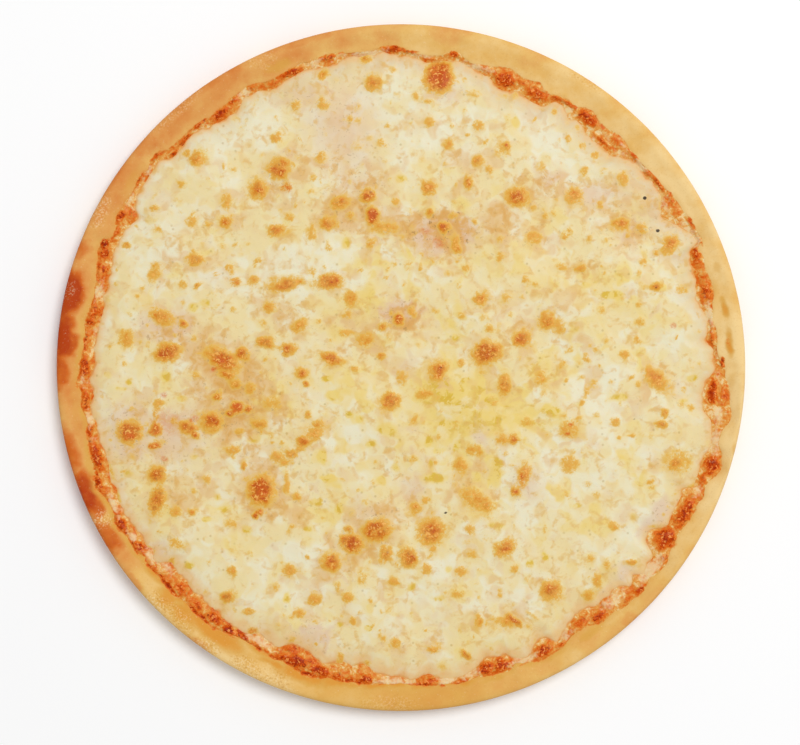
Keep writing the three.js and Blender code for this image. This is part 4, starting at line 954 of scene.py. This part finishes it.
def makeCheese():
    # The net pressed out to the wavy edge, its masks and its relief, and the wall and the underside
    # that close it
    angle, share, loop, faces = roundNet(cheese["cells"], cheese["edgeCrowding"])
    turn = np.radians(angle)
    edge = aroundRing(angle, cheeseLine) + cheese["overlap"] + 0.6 * rough(
        135 * np.cos(turn), 135 * np.sin(turn), 3.4, 146)
    radius = share * edge
    x, y = radius * np.cos(turn), radius * np.sin(turn)
    inward = edge - radius
    reach = aroundRing(angle, soakedReach)
    fray = 0.8 * rough(x, y, 3.4, 100, 2)

    # toast: brown spots, each with a paler golden skin set a little aside, and small flecks
    flecks = scattered(5, 700, 1.6, 4, (0.15, 0.5)) + scattered(6, 110, 3, 6, (0.15, 0.4))
    halos = spotRows(toastedSpots)
    spots = halos.copy()
    spots[:, 2:4] *= 1.07 + 0.3 * np.maximum(0, spots[:, 4:5] - 0.8)
    spots[:, 4] += 0.5 * np.maximum(0, spots[:, 4] - 1.05)
    toast = np.maximum(spread(x, y, spots, glow, fray), spread(x, y, flecks, glow, fray))
    aside = np.random.default_rng(9).uniform(-0.22, 0.22, (len(halos), 2))
    golden = halos * (1, 1, 1.45, 1.45, 0.38, 1)
    golden[:, :2] += aside * halos[:, 2:3]
    golden[:, 4] *= 1 - 0.6 * smooth((halos[:, 4] - 0.9) / 0.25)
    toast = np.maximum(toast, spread(x, y, golden, softEdge(0.55), 1.4 * fray))
    halos = halos * (1, 1, 1.9, 1.9, 1, 1)
    warm = spread(x, y, warmAreas, softEdge(0.9), 4 * fray)
    warm = warm + 0.5 * spread(x, y, halos, softEdge(0.8), fray) + 0.25 * rough(x, y, 18, 130)
    pale = spread(x, y, paleAreas, softEdge(0.9), 4 * fray) + 0.4 * rough(x, y, 14, 134)
    butter = np.maximum(1.75 * spread(x, y, yellowSpots, softEdge(0.6), fray),
                        spread(x, y, butteryAreas, softEdge(0.9), 4 * fray)) + 0.3 * rough(x, y, 16, 138)
    filmed = spread(x, y, alongRing(cheeseFilms), softEdge(0.9), rough(x, y, 2.6, 82))
    masks = {
        "toast": toast,
        "warm": warm,
        "butter": butter,
        "red": spread(x, y, reddishBits, softEdge(0.5), fray),
        "pale": np.maximum(pale, smooth(1 - inward / 9) * (
            0.8 + 0.5 * rough(x, y, 12, 120) + 0.5 * np.cos(
                turn - math.radians(cheese["paleSide"])))),
        "film": spread(x, y, filmAreas, softEdge(0.9), 3 * fray),
        # painted shade, strongest near the edge on the side where its slope faces the lamp
        "thin": 0.75 * smooth(1 - inward / 14) * np.maximum(
            0, np.cos(turn - math.radians(cheese["paintedShadeSide"]))),
        "soaked": (0.6 * smooth(1 - inward / reach) + 0.6 * smooth(1 - (inward - 0.5) / 1.8)) * (
            1 + 0.5 * rough(x, y, 5, 142, 4)) * (
                1 - 0.6 * filmed * smooth(1 - inward / 4) * smooth(inward / 1.6)),
        "dark": spread(x, y, darkSpecks, lambda reach: np.clip(1 - reach / 2, 0, 1)),
        "redness": rednessAt(x, y, angle, radius) * smooth(1 - inward / 5),
    }

    # full thickness in the middle, falling off convexly as 1 - (1 - t)^1.4 over the last millimetres
    full = layers["cheeseFloor"] + cheese["thickness"] + slowSwell(x, y)
    foot = layers["shore"] - cheese["sunk"]
    rise = 1 - (1 - np.clip(inward / cheese["edgeFall"], 0, 1)) ** 1.4
    height = foot + rise * (full - foot)
    height = height + rise * (0.1 * rough(x, y, 8, 110) + 0.05 * drift(x, y, 2.6, 115))
    height = height + rise * cheese["blisterHeight"] * smooth(toast) * (0.8 + 0.25 * drift(x, y, 1.9, 117))
    sheet = np.stack([x, y, height], -1)

    # the edge's wall, sunk in the sauce, then the underside down to its flat middle
    rim = sheet[loop]
    out = rim[:, :2] / np.linalg.norm(rim[:, :2], axis=1, keepdims=True)
    wall = np.hstack([rim[:, :2] - cheese["wall"] * out, rim[:, 2:] - cheese["wall"]])
    slope = np.hstack([rim[:, :2] - cheese["slope"] * out, np.full((len(loop), 1), layers["cheeseFloor"])])
    points = np.vstack([sheet, wall, slope, [[0, 0, layers["cheeseFloor"]]]])
    upper, lower = len(sheet) + np.arange(len(loop)), len(sheet) + len(loop) + np.arange(len(loop))
    for below, above in ((upper, loop), (lower, upper)):
        faces += np.stack([below, np.roll(below, -1), np.roll(above, -1), above], -1).tolist()
    faces += fan(len(points) - 1, lower[::-1])
    masks = {name: np.concatenate([values, values[loop], values[loop], [0]])
             for name, values in masks.items()}
    makePiece("cheeseSheet", points, faces, masks, meltedMozzarella(), "cheese")


studio = {
    "floorHalf": 3.0,
    "floorDrop": 0.0001,  # keeps the floor clear of the underside
    "floorTone": "FAFAFA",
    "floorGlow": 0.03,
    "skyStrength": 0.5415,
    "lampPower": 33.1,
    "lampDistance": 2.5,
    "lampSize": 1.2,
    "lampAzimuth": 47.0,
    "lampElevation": 66.0,
    "lens": 100.0,
    "cameraPlace": (-0.000384, -0.002126, 0.976),
}


def paintedFloor():
    # A white table lit from below as well, so that its shadows stay soft
    material, tree = newMaterial("whiteTable")
    tone = linear(studio["floorTone"])
    shader = addNode(tree, "BsdfPrincipled", {
        "Base Color": tone, "Roughness": 0.9, "Specular IOR Level": 0.1,
        "Emission Color": tone, "Emission Strength": studio["floorGlow"]})
    addNode(tree, "OutputMaterial", {"Surface": shader})
    return material


def makeStudio():
    # A wide white floor, an even sky, one soft round lamp and the camera straight above
    half, low = studio["floorHalf"], -studio["floorDrop"]
    mesh = bpy.data.meshes.new("floor")
    corners = [(-half, -half, low), (half, -half, low), (half, half, low), (-half, half, low)]
    mesh.from_pydata(corners, [], [(0, 1, 2, 3)])
    mesh.materials.append(paintedFloor())
    floor = bpy.data.objects.new("floor", mesh)
    bpy.context.scene.collection.objects.link(floor)

    world = bpy.data.worlds.new("paleRoom")
    world.use_nodes = True
    background = world.node_tree.nodes["Background"]
    background.inputs["Color"].default_value = (1, 1, 1, 1)
    background.inputs["Strength"].default_value = studio["skyStrength"]
    bpy.context.scene.world = world

    lamp = bpy.data.lights.new("softLamp", "AREA")
    lamp.energy = studio["lampPower"]
    lamp.shape = "DISK"
    lamp.size = studio["lampSize"]
    holder = bpy.data.objects.new("softLamp", lamp)
    turn, lift = math.radians(studio["lampAzimuth"]), math.radians(studio["lampElevation"])
    holder.location = [studio["lampDistance"] * part for part in (
        math.cos(turn) * math.cos(lift), math.sin(turn) * math.cos(lift), math.sin(lift))]
    holder.rotation_euler = (math.pi / 2 - lift, 0, turn + math.pi / 2)
    bpy.context.scene.collection.objects.link(holder)

    camera = bpy.data.cameras.new("overhead")
    camera.lens = studio["lens"]
    camera.dof.use_dof = False
    view = bpy.data.objects.new("overhead", camera)
    view.location = studio["cameraPlace"]
    bpy.context.scene.collection.objects.link(view)
    bpy.context.scene.camera = view
    bpy.context.scene.view_settings.view_transform = "Standard"
    print("floor, light and camera placed")


makeCrust()
makeSauce()
makeCheese()
makeStudio()
